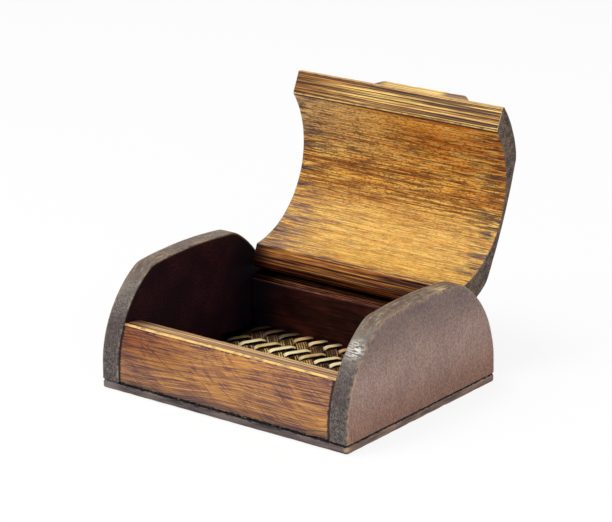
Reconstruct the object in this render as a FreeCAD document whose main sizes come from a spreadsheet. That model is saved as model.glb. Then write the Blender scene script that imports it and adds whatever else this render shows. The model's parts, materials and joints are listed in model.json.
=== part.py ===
import FreeCAD, Part
import math
import os

import Sketcher

# Small arched card box of bamboo and dark wood, millimetres, +Z up.
# The origin is the middle of the base board's underside, the front is -Y and the right end is +X.
# The lid is drawn shut, and its placement then swings it open about the hinge pins.

doc = FreeCAD.newDocument("card_box")
sheet = doc.addObject("Spreadsheet::Sheet", "dims")

DIMENSIONS = (
    # Overall form, shared by the end panels, the walls and the lid
    ("box_width", 110.0, "left to right, over the end panels"),
    ("box_depth", 88.0, "front to back at the foot"),
    ("panel_top", 43.6, "top of the crown above the table"),
    ("shoulder_height", 7.5, "where the upright sides start to round over"),
    ("crown_width", 47.0, "nearly flat stretch on top"),
    ("crown_rise", 1.4, "how far that stretch bows up"),
    ("crown_blend", 10.0, "rounding between shoulder and crown"),
    # Base board and end panels
    ("base_thickness", 2.9, "bottom board"),
    ("base_corner", 1.2, "rounding of its four upright corners"),
    ("base_easing", 0.7, "bevel round its underside"),
    ("panel_thickness", 7.6, "each end panel"),
    ("panel_easing", 0.9, "worn rounding along its outer rim"),
    # Front and back walls
    ("wall_foot", 12.0, "thickness of a wall at its foot"),
    ("wall_recess", 0.4, "outer faces lie this far inside the panels' outline"),
    ("front_wall_top", 24.6, "top of the front wall above the table"),
    ("front_wall_fall", 0.9, "the front wall's top falls inwards by this"),
    ("back_wall_drop", 0.4, "the back wall's outer edge is lower by this"),
    ("back_wall_fall", 1.8, "the back wall's top falls inwards by this, where the lid's heel turns"),
    ("wall_easing", 0.5, "bevel along the top outer edge of a wall"),
    ("dowel_diameter", 3.0, "blind dowels between walls and panels"),
    ("dowel_in_panel", 4.0, "how deep a dowel sits in a panel"),
    ("dowel_in_wall", 8.0, "how deep it sits in a wall"),
    ("dowel_low", 9.0, "height of the lower dowels"),
    ("dowel_rise", 9.0, "from a lower dowel to the upper one"),
    ("dowel_cover", 6.0, "from a wall's inner face to its dowels"),
    ("glue_gap", 0.05, "round a glued dowel or pin"),
    # Lid
    ("lid_inset", 0.7, "the lid's outside lies this far inside the panels' outline"),
    ("lid_seat_gap", 0.3, "between the shut lid's edge and the front wall"),
    ("lid_left_gap", 1.2, "between the lid and the left panel"),
    ("lid_right_gap", 1.4, "between the lid and the right panel"),
    ("lid_crown", 1.9, "thickness of the lid at the top"),
    ("lid_front_edge", 9.6, "width of the lid's front edge face"),
    ("lid_rear_edge", 11.0, "width of its rear edge face, before the heel is rounded"),
    ("heel_radius", 3.0, "rounding of the heel, which passes over the back wall"),
    ("lid_easing", 0.7, "worn rounding along the front outer edge"),
    # Hinge
    ("pivot_from_back", 9.3, "pin's axis in from the back of the base"),
    ("pivot_above_edge", 3.2, "pin's axis above the lid's edge faces"),
    ("pin_diameter", 2.4, "hinge pins"),
    ("pin_in_panel", 5.0, "how deep a pin sits in a panel"),
    ("pin_in_lid", 6.0, "how deep it reaches into the lid"),
    ("pin_running_gap", 0.06, "round the pin in the lid's bore"),
    ("pin_bevel", 0.3, "bevel on the pin's ends"),
    ("open_angle", 113.5, "how far the lid stands open"),
    # Pull on the lid's front slope
    ("pull_length", 52.0, "along the box's width"),
    ("pull_foot", 8.0, "width where it meets the lid"),
    ("pull_head", 4.6, "width of its outer face"),
    ("pull_height", 9.2, "how far it stands out from the lid"),
    ("pull_up_slope", 10.3, "from the lid's front edge to its middle, along the slope"),
    ("pull_end_bevel", 6.0, "its ends slope in by this"),
    ("pull_offset", 4.2, "it sits this far right of the middle"),
    ("pull_easing", 1.2, "rounding of its outer edges"),
    # Woven mat on the floor
    ("mat_thickness", 2.2, "two layers of reed"),
    ("mat_gap", 0.4, "round the mat"),
)

for row, (alias, value, meaning) in enumerate(DIMENSIONS, start=1):
    sheet.set(f"A{row}", meaning)
    sheet.set(f"B{row}", str(value))
    sheet.setAlias(f"B{row}", alias)
doc.recompute()

# Places worked out from the sheet, as expressions that the document can solve again
HALF_DEPTH = "(dims.box_depth / 2)"
HALF_CROWN = "(dims.crown_width / 2)"
CROWN_END = "(dims.panel_top - dims.crown_rise)"
CROWN_RADIUS = f"(({HALF_CROWN}^2 + dims.crown_rise^2) / (2 * dims.crown_rise))"
CROWN_CENTRE = f"(dims.panel_top - {CROWN_RADIUS})"
SHOULDER_RUN = f"({HALF_DEPTH} - {HALF_CROWN})"
SHOULDER_RISE = f"({CROWN_END} - dims.shoulder_height)"
SHOULDER_RADIUS = f"(({SHOULDER_RUN}^2 + {SHOULDER_RISE}^2) / (2 * {SHOULDER_RUN}))"
SHOULDER_CENTRE = f"({HALF_DEPTH} - {SHOULDER_RADIUS})"

INNER_WIDTH = "(dims.box_width - 2 * dims.panel_thickness)"
WALL_OUTER = f"({HALF_DEPTH} - dims.wall_recess)"
WALL_INNER = f"({WALL_OUTER} - dims.wall_foot)"
BACK_WALL_TOP = "(dims.front_wall_top - dims.back_wall_drop)"
DOWEL_ROW = f"({WALL_INNER} + dims.dowel_cover)"
DOWEL_HIGH = "(dims.dowel_low + dims.dowel_rise)"
DOWEL_BORE = "(dims.dowel_diameter / 2 + dims.glue_gap)"

LID_EDGE = "(dims.front_wall_top + dims.lid_seat_gap)"
LID_SHOULDER = f"({SHOULDER_RADIUS} - dims.lid_inset)"
LID_OUTER = f"({SHOULDER_CENTRE} + sqrt({LID_SHOULDER}^2 - ({LID_EDGE} - dims.shoulder_height)^2))"
LID_CHORD = f"(2 * {LID_OUTER} - dims.lid_front_edge - dims.lid_rear_edge)"
LID_HOLLOW_TOP = "(dims.panel_top - dims.lid_inset - dims.lid_crown)"
LID_HOLLOW_RISE = f"({LID_HOLLOW_TOP} - {LID_EDGE})"
LID_HOLLOW_RADIUS = f"(({LID_CHORD}^2 / 4 + {LID_HOLLOW_RISE}^2) / (2 * {LID_HOLLOW_RISE}))"
LID_LENGTH = f"({INNER_WIDTH} - dims.lid_left_gap - dims.lid_right_gap)"

PIVOT_Y = f"({HALF_DEPTH} - dims.pivot_from_back)"
PIVOT_Z = f"({LID_EDGE} + dims.pivot_above_edge)"
PIVOT = f"vector(0; {PIVOT_Y}; {PIVOT_Z})"
OPENED = f"placement(vector(0; 0; 0); rotation(vector(1; 0; 0); -dims.open_angle); {PIVOT})"

# Two points closer than this are taken for one when edges are picked
SAME_PLACE = 1e-3


def size(expression):
    """Present value of an expression on the dimension sheet."""
    return float(sheet.evalExpression(expression))


def negative(expression):
    return f"(-1 * {expression})"


def vector(across, up):
    return FreeCAD.Vector(across, up, 0)


def new_body(name):
    body = doc.addObject("PartDesign::Body", name)
    body.Label = name
    return body


def new_sketch(body, name, role, offset=None):
    """Sketch on one of the body's own origin planes, moved along its normal by an expression."""
    plane = next(f for f in body.Origin.OriginFeatures if f.Role == role)
    sketch = body.newObject("Sketcher::SketchObject", name)
    sketch.AttachmentSupport = [(plane, "")]
    sketch.MapMode = "FlatFace"
    if offset is not None:
        sketch.setExpression("AttachmentOffset.Base.z", offset)
    doc.recompute()
    return sketch


def bind(sketch, kind, where, expression):
    """Dimension of the sketch that follows an expression."""
    index = sketch.addConstraint(Sketcher.Constraint(kind, *where, size(expression)))
    sketch.setExpression(f"Constraints[{index}]", expression)


def place(sketch, element, point, across=None, up=None):
    """Ties a point of the sketch to its distances from the sketch's origin."""
    for kind, expression in (("DistanceX", across), ("DistanceY", up)):
        if expression is None:
            continue
        if size(expression) >= 0:
            bind(sketch, kind, (-1, 1, element, point), expression)
        else:
            bind(sketch, kind, (element, point, -1, 1), negative(expression))


def line(sketch, start, end):
    return sketch.addGeometry(Part.LineSegment(vector(*start), vector(*end)))


def arc(sketch, centre, start, end):
    """Arc about a centre, counter-clockwise from one point to the other."""
    first = math.atan2(start[1] - centre[1], start[0] - centre[0])
    last = math.atan2(end[1] - centre[1], end[0] - centre[0])
    radius = math.hypot(start[0] - centre[0], start[1] - centre[1])
    circle = Part.Circle(vector(*centre), FreeCAD.Vector(0, 0, 1), radius)
    return sketch.addGeometry(Part.ArcOfCircle(circle, first, last))


def join(sketch, *links):
    for first, first_point, second, second_point in links:
        sketch.addConstraint(Sketcher.Constraint("Coincident", first, first_point, second, second_point))


def rectangle(sketch, across, along):
    """Rectangle about the sketch's origin."""
    half_across, half_along = f"({across} / 2)", f"({along} / 2)"
    x, y = size(half_across), size(half_along)
    corners = ((-x, -y), (x, -y), (x, y), (-x, y))
    sides = [line(sketch, corners[i], corners[(i + 1) % 4]) for i in range(4)]
    join(sketch, *((sides[i], 2, sides[(i + 1) % 4], 1) for i in range(4)))
    for side, kind in zip(sides, ("Horizontal", "Vertical", "Horizontal", "Vertical")):
        sketch.addConstraint(Sketcher.Constraint(kind, side))
    place(sketch, sides[0], 1, negative(half_across), negative(half_along))
    place(sketch, sides[2], 1, half_across, half_along)


def round_hole(sketch, across, up, radius):
    centre = vector(size(across), size(up))
    hole = sketch.addGeometry(Part.Circle(centre, FreeCAD.Vector(0, 0, 1), size(radius)))
    place(sketch, hole, 3, across, up)
    bind(sketch, "Radius", (hole,), radius)


def pad(body, sketch, length, middle=False):
    feature = body.newObject("PartDesign::Pad", sketch.Name + "_pad")
    feature.Profile = sketch
    feature.setExpression("Length", length)
    if middle:
        feature.SideType = "Symmetric"
    doc.recompute()
    return feature


def pocket(body, sketch, depth, backwards=False):
    """Cuts a sketch into the body and makes sure that it removed something."""
    before = body.Shape.Volume
    feature = body.newObject("PartDesign::Pocket", sketch.Name + "_cut")
    feature.Profile = sketch
    feature.setExpression("Length", depth)
    feature.Reversed = backwards
    doc.recompute()
    if body.Shape.Volume >= before:
        raise RuntimeError(f"{feature.Name} cuts nothing")
    return feature


def finish_edges(body, kind, name, chosen, amount):
    """Fillet or chamfer on the edges of the body that a test picks."""
    before = body.Tip
    picked = [f"Edge{i}" for i, edge in enumerate(before.Shape.Edges, start=1) if chosen(edge)]
    feature = body.newObject("PartDesign::" + kind, name)
    feature.Base = (before, picked)
    feature.setExpression("Radius" if kind == "Fillet" else "Size", amount)
    doc.recompute()


def runs_along_x(edge):
    """True for a straight edge along the box's width."""
    ends = [v.Point for v in edge.Vertexes]
    return len(ends) == 2 and abs(ends[0].y - ends[1].y) + abs(ends[0].z - ends[1].z) < SAME_PLACE


def passes(edge, across, up):
    """True for an edge along X that goes through a place of the YZ section."""
    start = edge.Vertexes[0].Point
    return runs_along_x(edge) and math.hypot(start.y - across, start.z - up) < SAME_PLACE


def lies_at(edge, axis, value):
    """True for an edge with all of its ends at one value of an axis."""
    return all(abs(v.Point[axis] - value) < SAME_PLACE for v in edge.Vertexes)


# Base board: one thin rectangle with rounded corners and a bevel round its underside
base_board = new_body("base_board")
base_plan = new_sketch(base_board, "base_plan", "XY_Plane")
rectangle(base_plan, "dims.box_width", "dims.box_depth")
pad(base_board, base_plan, "dims.base_thickness")
finish_edges(
    base_board, "Fillet", "base_corners",
    lambda edge: abs(edge.Vertexes[0].Z - edge.Vertexes[-1].Z) > SAME_PLACE, "dims.base_corner",
)
finish_edges(base_board, "Chamfer", "base_bevel", lambda edge: lies_at(edge, 2, 0), "dims.base_easing")


# End panels: arched outline on the base board, with blind bores for the pin and the dowels
def end_panel(name, side):
    body = new_body(name)
    half, crown, crown_end = size(HALF_DEPTH), size(HALF_CROWN), size(CROWN_END)
    foot, shoulder = size("dims.base_thickness"), size("dims.shoulder_height")
    outer_plane = "(dims.box_width / 2)"
    inner_plane = f"({INNER_WIDTH} / 2)"
    near = inner_plane if side > 0 else negative(outer_plane)

    outline = new_sketch(body, name + "_outline", "YZ_Plane", near)
    bottom = line(outline, (-half, foot), (half, foot))
    back = line(outline, (half, foot), (half, shoulder))
    back_shoulder = arc(outline, (size(SHOULDER_CENTRE), shoulder), (half, shoulder), (crown, crown_end))
    top = arc(outline, (0, size(CROWN_CENTRE)), (crown, crown_end), (-crown, crown_end))
    front_shoulder = arc(
        outline, (-size(SHOULDER_CENTRE), shoulder), (-crown, crown_end), (-half, shoulder),
    )
    front = line(outline, (-half, shoulder), (-half, foot))
    join(
        outline, (bottom, 2, back, 1), (back, 2, back_shoulder, 1), (back_shoulder, 2, top, 1),
        (top, 2, front_shoulder, 1), (front_shoulder, 2, front, 1), (front, 2, bottom, 1),
    )
    outline.addConstraint(Sketcher.Constraint("Horizontal", bottom))
    outline.addConstraint(Sketcher.Constraint("Vertical", back))
    outline.addConstraint(Sketcher.Constraint("Vertical", front))
    place(outline, bottom, 1, negative(HALF_DEPTH), "dims.base_thickness")
    place(outline, bottom, 2, HALF_DEPTH)
    place(outline, back_shoulder, 3, SHOULDER_CENTRE, "dims.shoulder_height")
    place(outline, front_shoulder, 3, negative(SHOULDER_CENTRE), "dims.shoulder_height")
    place(outline, top, 1, HALF_CROWN)
    place(outline, top, 2, negative(HALF_CROWN))
    bind(outline, "Radius", (top,), CROWN_RADIUS)
    place(outline, back, 2, up="dims.shoulder_height")
    place(outline, front, 1, up="dims.shoulder_height")
    pad(body, outline, "dims.panel_thickness")

    finish_edges(
        body, "Fillet", name + "_blend",
        lambda edge: passes(edge, crown, crown_end) or passes(edge, -crown, crown_end), "dims.crown_blend",
    )
    outer_x = side * size(outer_plane)
    finish_edges(
        body, "Fillet", name + "_worn_rim",
        lambda edge: lies_at(edge, 0, outer_x) and not lies_at(edge, 2, foot), "dims.panel_easing",
    )

    face = inner_plane if side > 0 else negative(inner_plane)
    pin_bore = new_sketch(body, name + "_pin_bore", "YZ_Plane", face)
    round_hole(pin_bore, PIVOT_Y, PIVOT_Z, "(dims.pin_diameter / 2 + dims.glue_gap)")
    pocket(body, pin_bore, "dims.pin_in_panel", backwards=side > 0)
    dowel_bores = new_sketch(body, name + "_dowel_bores", "YZ_Plane", face)
    for row in (negative(DOWEL_ROW), DOWEL_ROW):
        for height in ("dims.dowel_low", DOWEL_HIGH):
            round_hole(dowel_bores, row, height, DOWEL_BORE)
    pocket(body, dowel_bores, "dims.dowel_in_panel", backwards=side > 0)
    return body


left_end_panel = end_panel("left_end_panel", -1)
right_end_panel = end_panel("right_end_panel", 1)


# Walls: bamboo slabs between the panels, upright inside and following the outline outside
def wall(name, side, top_height, inner_height):
    body = new_body(name)
    outer, inner = size(WALL_OUTER), size(WALL_INNER)
    foot, shoulder, top = size("dims.base_thickness"), size("dims.shoulder_height"), size(top_height)
    radius = f"({SHOULDER_RADIUS} - dims.wall_recess)"
    centre = size(SHOULDER_CENTRE)
    lip = centre + math.sqrt(size(radius) ** 2 - (top - shoulder) ** 2)
    inner_top = size(inner_height)

    section = new_sketch(body, name + "_section", "YZ_Plane")
    upright = line(section, (side * outer, foot), (side * outer, shoulder))
    if side > 0:
        bulge = arc(section, (centre, shoulder), (outer, shoulder), (lip, top))
        low_end, high_end = 1, 2
    else:
        bulge = arc(section, (-centre, shoulder), (-lip, top), (-outer, shoulder))
        low_end, high_end = 2, 1
    rim = line(section, (side * lip, top), (side * inner, inner_top))
    inside = line(section, (side * inner, inner_top), (side * inner, foot))
    bottom = line(section, (side * inner, foot), (side * outer, foot))
    join(
        section, (upright, 2, bulge, low_end), (bulge, high_end, rim, 1), (rim, 2, inside, 1),
        (inside, 2, bottom, 1), (bottom, 2, upright, 1),
    )
    for element in (upright, inside):
        section.addConstraint(Sketcher.Constraint("Vertical", element))
    section.addConstraint(Sketcher.Constraint("Horizontal", bottom))
    facing = (lambda expression: expression) if side > 0 else negative
    place(section, upright, 1, facing(WALL_OUTER), "dims.base_thickness")
    place(section, upright, 2, up="dims.shoulder_height")
    place(section, bulge, 3, facing(SHOULDER_CENTRE), "dims.shoulder_height")
    place(section, rim, 1, up=top_height)
    place(section, inside, 1, facing(WALL_INNER), inner_height)
    pad(body, section, INNER_WIDTH, middle=True)
    finish_edges(
        body, "Chamfer", name + "_lip", lambda edge: passes(edge, side * lip, top), "dims.wall_easing",
    )

    for end, ahead in ((f"({INNER_WIDTH} / 2)", False), (negative(f"({INNER_WIDTH} / 2)"), True)):
        bores = new_sketch(body, name + ("_left" if ahead else "_right") + "_bores", "YZ_Plane", end)
        for height in ("dims.dowel_low", DOWEL_HIGH):
            round_hole(bores, facing(DOWEL_ROW), height, DOWEL_BORE)
        pocket(body, bores, "dims.dowel_in_wall", backwards=ahead)
    return body


FRONT_INNER_TOP = "(dims.front_wall_top - dims.front_wall_fall)"
front_wall = wall("front_wall", -1, "dims.front_wall_top", FRONT_INNER_TOP)
back_wall = wall("back_wall", 1, BACK_WALL_TOP, f"({BACK_WALL_TOP} - dims.back_wall_fall)")


# Dowels: two in each end of each wall, hidden in their bores
def wall_dowels(name, row):
    pegs = []
    for end, corner in (("left", negative(f"({INNER_WIDTH} / 2 + dims.dowel_in_panel)")),
                        ("right", f"({INNER_WIDTH} / 2 - dims.dowel_in_wall)")):
        for level, height in (("low", "dims.dowel_low"), ("high", DOWEL_HIGH)):
            peg = doc.addObject("Part::Cylinder", f"{name}_{end}_{level}")
            peg.setExpression("Radius", "dims.dowel_diameter / 2")
            peg.setExpression("Height", "dims.dowel_in_panel + dims.dowel_in_wall")
            peg.setExpression(
                "Placement",
                f"placement(vector({corner}; {row}; {height}); rotation(vector(0; 1; 0); 90))",
            )
            pegs.append(peg)
    group = doc.addObject("Part::Compound", name)
    group.Label = name
    group.Links = pegs
    return group


front_wall_dowels = wall_dowels("front_wall_dowels", negative(DOWEL_ROW))
back_wall_dowels = wall_dowels("back_wall_dowels", DOWEL_ROW)

# Lid: crescent of bamboo culm, thin at the crown and thick at its two edges, its heel rounded
lid = new_body("lid")
edge_height, shoulder_height = size(LID_EDGE), size("dims.shoulder_height")
lid_outer, shoulder_centre, shoulder_reach = size(LID_OUTER), size(SHOULDER_CENTRE), size(LID_SHOULDER)
crown_reach, crown_centre = size(f"({CROWN_RADIUS} - dims.lid_inset)"), size(CROWN_CENTRE)
front_inner = -lid_outer + size("dims.lid_front_edge")
rear_inner = lid_outer - size("dims.lid_rear_edge")
hollow_centre = ((front_inner + rear_inner) / 2, size(LID_HOLLOW_TOP) - size(LID_HOLLOW_RADIUS))

# The shoulder arc and the crown arc cross where the two circles meet
between = math.hypot(shoulder_centre, crown_centre - shoulder_height)
toward = math.atan2(crown_centre - shoulder_height, -shoulder_centre)
spread = math.acos((shoulder_reach**2 + between**2 - crown_reach**2) / (2 * shoulder_reach * between))
corner_angle = toward + spread
lid_corner = (
    shoulder_centre + shoulder_reach * math.cos(corner_angle),
    shoulder_height + shoulder_reach * math.sin(corner_angle),
)

section = new_sketch(lid, "lid_section", "YZ_Plane", f"(dims.lid_left_gap - {INNER_WIDTH} / 2)")
front_edge = line(section, (front_inner, edge_height), (-lid_outer, edge_height))
front_slope = arc(
    section, (-shoulder_centre, shoulder_height),
    (-lid_corner[0], lid_corner[1]), (-lid_outer, edge_height),
)
crown = arc(section, (0, crown_centre), lid_corner, (-lid_corner[0], lid_corner[1]))
rear_slope = arc(section, (shoulder_centre, shoulder_height), (lid_outer, edge_height), lid_corner)
rear_edge = line(section, (lid_outer, edge_height), (rear_inner, edge_height))
hollow = arc(section, hollow_centre, (rear_inner, edge_height), (front_inner, edge_height))
join(
    section, (front_edge, 2, front_slope, 2), (front_slope, 1, crown, 2), (crown, 1, rear_slope, 2),
    (rear_slope, 1, rear_edge, 1), (rear_edge, 2, hollow, 1), (hollow, 2, front_edge, 1),
)
section.addConstraint(Sketcher.Constraint("Horizontal", front_edge))
section.addConstraint(Sketcher.Constraint("Horizontal", rear_edge))
place(section, front_slope, 3, negative(SHOULDER_CENTRE), "dims.shoulder_height")
place(section, rear_slope, 3, SHOULDER_CENTRE, "dims.shoulder_height")
section.addConstraint(Sketcher.Constraint("PointOnObject", crown, 3, -2))
place(section, crown, 3, up=CROWN_CENTRE)
bind(section, "Radius", (front_slope,), LID_SHOULDER)
bind(section, "Radius", (rear_slope,), LID_SHOULDER)
bind(section, "Radius", (crown,), f"({CROWN_RADIUS} - dims.lid_inset)")
place(section, front_edge, 2, up=LID_EDGE)
place(section, rear_edge, 1, up=LID_EDGE)
bind(section, "Distance", (front_edge,), "dims.lid_front_edge")
bind(section, "Distance", (rear_edge,), "dims.lid_rear_edge")
bind(section, "Radius", (hollow,), LID_HOLLOW_RADIUS)
pad(lid, section, LID_LENGTH)
finish_edges(
    lid, "Fillet", "lid_blend",
    lambda edge: any(passes(edge, s * lid_corner[0], lid_corner[1]) for s in (-1, 1)), "dims.crown_blend",
)
finish_edges(
    lid, "Fillet", "lid_heel", lambda edge: passes(edge, lid_outer, edge_height), "dims.heel_radius",
)
finish_edges(
    lid, "Fillet", "lid_worn_edge", lambda edge: passes(edge, -lid_outer, edge_height), "dims.lid_easing",
)
LID_BORE = "(dims.pin_diameter / 2 + dims.pin_running_gap)"
LID_BORE_DEPTH = "(dims.pin_in_lid + dims.glue_gap)"
for end, plane, ahead in (
    ("left", f"(dims.lid_left_gap - {INNER_WIDTH} / 2)", True),
    ("right", f"({INNER_WIDTH} / 2 - dims.lid_right_gap)", False),
):
    bore = new_sketch(lid, f"lid_{end}_bore", "YZ_Plane", plane)
    round_hole(bore, PIVOT_Y, PIVOT_Z, LID_BORE)
    pocket(lid, bore, LID_BORE_DEPTH, backwards=ahead)
lid.setExpression("Placement", OPENED)


# Hinge pins: glued into the panels, the lid turns on their free ends
def hinge_pin(name, side, gap):
    body = new_body(name)
    reach = f"({INNER_WIDTH} / 2 - {gap} - dims.pin_in_lid)"
    start = reach if side > 0 else negative(f"({INNER_WIDTH} / 2 + dims.pin_in_panel)")
    circle = new_sketch(body, name + "_circle", "YZ_Plane", start)
    round_hole(circle, PIVOT_Y, PIVOT_Z, "(dims.pin_diameter / 2)")
    pad(body, circle, f"(dims.pin_in_panel + {gap} + dims.pin_in_lid)")
    finish_edges(body, "Chamfer", name + "_bevel", lambda edge: len(edge.Vertexes) == 1, "dims.pin_bevel")
    return body


left_hinge_pin = hinge_pin("left_hinge_pin", -1, "dims.lid_left_gap")
right_hinge_pin = hinge_pin("right_hinge_pin", 1, "dims.lid_right_gap")

# Pull: bar with sloped ends, drawn upright and seated on the lid's front slope, its foot hollowed to fit
lid_pull = new_body("lid_pull")
PULL_SEAT = f"({LID_SHOULDER} + dims.glue_gap)"
PULL_SAG = f"({PULL_SEAT} - sqrt({PULL_SEAT}^2 - dims.pull_foot^2 / 4))"
EDGE_ANGLE = f"asin(({LID_EDGE} - dims.shoulder_height) / {LID_SHOULDER})"
PULL_ANGLE = f"({EDGE_ANGLE} + 180 deg / pi * dims.pull_up_slope / {LID_SHOULDER})"
PULL_Y = f"(-1 * {SHOULDER_CENTRE} - {PULL_SEAT} * cos({PULL_ANGLE}))"
PULL_Z = f"(dims.shoulder_height + {PULL_SEAT} * sin({PULL_ANGLE}))"
foot, head = size("dims.pull_foot / 2"), size("dims.pull_head / 2")
tall, sag, seat = size("dims.pull_height"), size(PULL_SAG), size(PULL_SEAT)
bar = new_sketch(lid_pull, "pull_section", "YZ_Plane")
under = arc(bar, (0, -seat), (foot, -sag), (-foot, -sag))
rear_face = line(bar, (foot, -sag), (head, tall))
outer_face = line(bar, (head, tall), (-head, tall))
front_face = line(bar, (-head, tall), (-foot, -sag))
join(
    bar, (under, 1, rear_face, 1), (rear_face, 2, outer_face, 1),
    (outer_face, 2, front_face, 1), (front_face, 2, under, 2),
)
place(bar, under, 1, "(dims.pull_foot / 2)", negative(PULL_SAG))
place(bar, under, 2, negative("(dims.pull_foot / 2)"), negative(PULL_SAG))
bind(bar, "Radius", (under,), PULL_SEAT)
place(bar, outer_face, 1, "(dims.pull_head / 2)", "dims.pull_height")
place(bar, outer_face, 2, negative("(dims.pull_head / 2)"), "dims.pull_height")
pad(lid_pull, bar, "dims.pull_length", middle=True)

# Its sloped ends are cut by one triangle at each end, seen from the front
half_length, slope = size("dims.pull_length / 2"), size("dims.pull_end_bevel")
PULL_TIP = "(dims.pull_length / 2)"
PULL_SHOULDER = "(dims.pull_length / 2 - dims.pull_end_bevel)"
ends = new_sketch(lid_pull, "pull_ends", "XZ_Plane")
for side in (-1, 1):
    facing = negative if side < 0 else (lambda expression: expression)
    sloped = line(ends, (side * half_length, 0), (side * (half_length - slope), tall))
    level = line(ends, (side * (half_length - slope), tall), (side * half_length, tall))
    upright = line(ends, (side * half_length, tall), (side * half_length, 0))
    join(ends, (sloped, 2, level, 1), (level, 2, upright, 1), (upright, 2, sloped, 1))
    ends.addConstraint(Sketcher.Constraint("PointOnObject", sloped, 1, -1))
    place(ends, sloped, 1, facing(PULL_TIP))
    place(ends, sloped, 2, facing(PULL_SHOULDER), "dims.pull_height")
    place(ends, upright, 1, facing(PULL_TIP), "dims.pull_height")
bevel = pocket(lid_pull, ends, "(2 * dims.pull_foot)")
bevel.SideType = "Symmetric"
doc.recompute()
finish_edges(
    lid_pull, "Fillet", "pull_easing", lambda edge: lies_at(edge, 2, tall), "dims.pull_easing",
)
lid_pull.setExpression(
    "Placement",
    f"{OPENED} * placement(vector(dims.pull_offset; {PULL_Y}; {PULL_Z}); "
    f"rotation(vector(1; 0; 0); 90 deg - {PULL_ANGLE}))",
)

# Mat: flat on the base board between the walls and the panels
floor_mat = new_body("floor_mat")
mat_plan = new_sketch(floor_mat, "mat_plan", "XY_Plane", "dims.base_thickness")
rectangle(mat_plan, f"({INNER_WIDTH} - 2 * dims.mat_gap)", f"(2 * ({WALL_INNER} - dims.mat_gap))")
pad(floor_mat, mat_plan, "dims.mat_thickness")

doc.recompute()
pieces = (
    base_board, left_end_panel, right_end_panel, front_wall, back_wall, front_wall_dowels, back_wall_dowels,
    lid, left_hinge_pin, right_hinge_pin, lid_pull, floor_mat,
)
for item in doc.Objects:
    if "Invalid" in item.State or "Error" in item.State:
        raise RuntimeError(f"{item.Label} did not build: {item.State}")
for piece in pieces:
    if piece.Shape.isNull() or not piece.Shape.isValid():
        raise RuntimeError(f"{piece.Label} has no valid shape")

os.makedirs("parts", exist_ok=True)
for piece in pieces:
    piece.Shape.exportStep(f"parts/{piece.Label}.step")
    box = piece.Shape.optimalBoundingBox()
    print(
        f"{piece.Label}: {len(piece.Shape.Solids)} solid(s), {piece.Shape.Volume:.1f} mm3, "
        f"X {box.XMin:.2f} to {box.XMax:.2f}, Y {box.YMin:.2f} to {box.YMax:.2f}, "
        f"Z {box.ZMin:.2f} to {box.ZMax:.2f}"
    )
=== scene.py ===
import json
import math
import random

import bmesh
import bpy
from mathutils import Matrix, Vector, noise


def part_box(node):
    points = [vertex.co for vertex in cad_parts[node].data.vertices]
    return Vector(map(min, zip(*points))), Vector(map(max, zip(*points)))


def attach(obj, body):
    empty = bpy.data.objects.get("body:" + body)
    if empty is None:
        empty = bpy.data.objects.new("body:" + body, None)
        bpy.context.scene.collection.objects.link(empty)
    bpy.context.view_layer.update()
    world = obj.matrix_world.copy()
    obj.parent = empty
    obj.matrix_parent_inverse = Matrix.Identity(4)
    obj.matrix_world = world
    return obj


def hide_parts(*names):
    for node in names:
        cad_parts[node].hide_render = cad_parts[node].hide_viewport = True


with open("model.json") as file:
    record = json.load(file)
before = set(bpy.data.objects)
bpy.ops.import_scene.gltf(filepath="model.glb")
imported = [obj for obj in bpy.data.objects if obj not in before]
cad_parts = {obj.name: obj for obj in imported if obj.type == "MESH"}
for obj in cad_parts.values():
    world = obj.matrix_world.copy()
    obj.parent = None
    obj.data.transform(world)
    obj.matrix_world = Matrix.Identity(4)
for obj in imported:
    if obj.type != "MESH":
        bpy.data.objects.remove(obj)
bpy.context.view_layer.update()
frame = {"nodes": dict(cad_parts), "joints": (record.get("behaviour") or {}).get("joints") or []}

# Base board: a thin dark hardwood board, sawn to size and stained, its corners rounded over by hand.
# The end panels and the walls are glued on top of it, and the box stands on its flat underside.
MM = 0.001
BASE_HALF_WIDTH, BASE_HALF_DEPTH, BASE_THICKNESS = 55.0, 44.0, 2.9
BASE_CORNER, BASE_EASING = 1.2, 0.7
JOINT_GROOVE = 0.6
BASE_FACE_RING = 4.0
BASE_NICK, NICK_SIZE = 0.35, 5.0
CREASE = math.radians(48)
GLUE_BLACK = (10, 8, 9)


def stain(red, green, blue):
    """Screen colour from 0 to 255 as the linear colour that a shader takes."""
    parts = (value / 255 for value in (red, green, blue))
    return tuple(p / 12.92 if p <= 0.04045 else ((p + 0.055) / 1.055) ** 2.4 for p in parts) + (1.0,)


class Nodes:
    """A tree that is built up node by node."""

    def __init__(self, tree):
        self.tree = tree

    def add(self, kind, inputs=None, **settings):
        """New node with its settings, and a value or a link in each input named."""
        made = self.tree.nodes.new(kind)
        for key, value in settings.items():
            setattr(made, key, value)
        for key, value in (inputs or {}).items():
            self.feed(made.inputs[key], value)
        return made

    def out(self, kind, inputs=None, name=0, **settings):
        """First output of a new node, or the one that is named."""
        return self.add(kind, inputs, **settings).outputs[name]

    def feed(self, socket, value):
        if isinstance(value, bpy.types.NodeSocket):
            self.tree.links.new(value, socket)
        else:
            socket.default_value = value

    def sum(self, operation, first, second=0.0):
        return self.out("ShaderNodeMath", {0: first, 1: second}, operation=operation)

    def between(self, value, low, high, start=0.0, end=1.0, way="SMOOTHSTEP"):
        """Eased step from start to end as the value goes from low to high."""
        step = {"Value": value, "From Min": low, "From Max": high, "To Min": start, "To Max": end}
        return self.out("ShaderNodeMapRange", step, interpolation_type=way)


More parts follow.
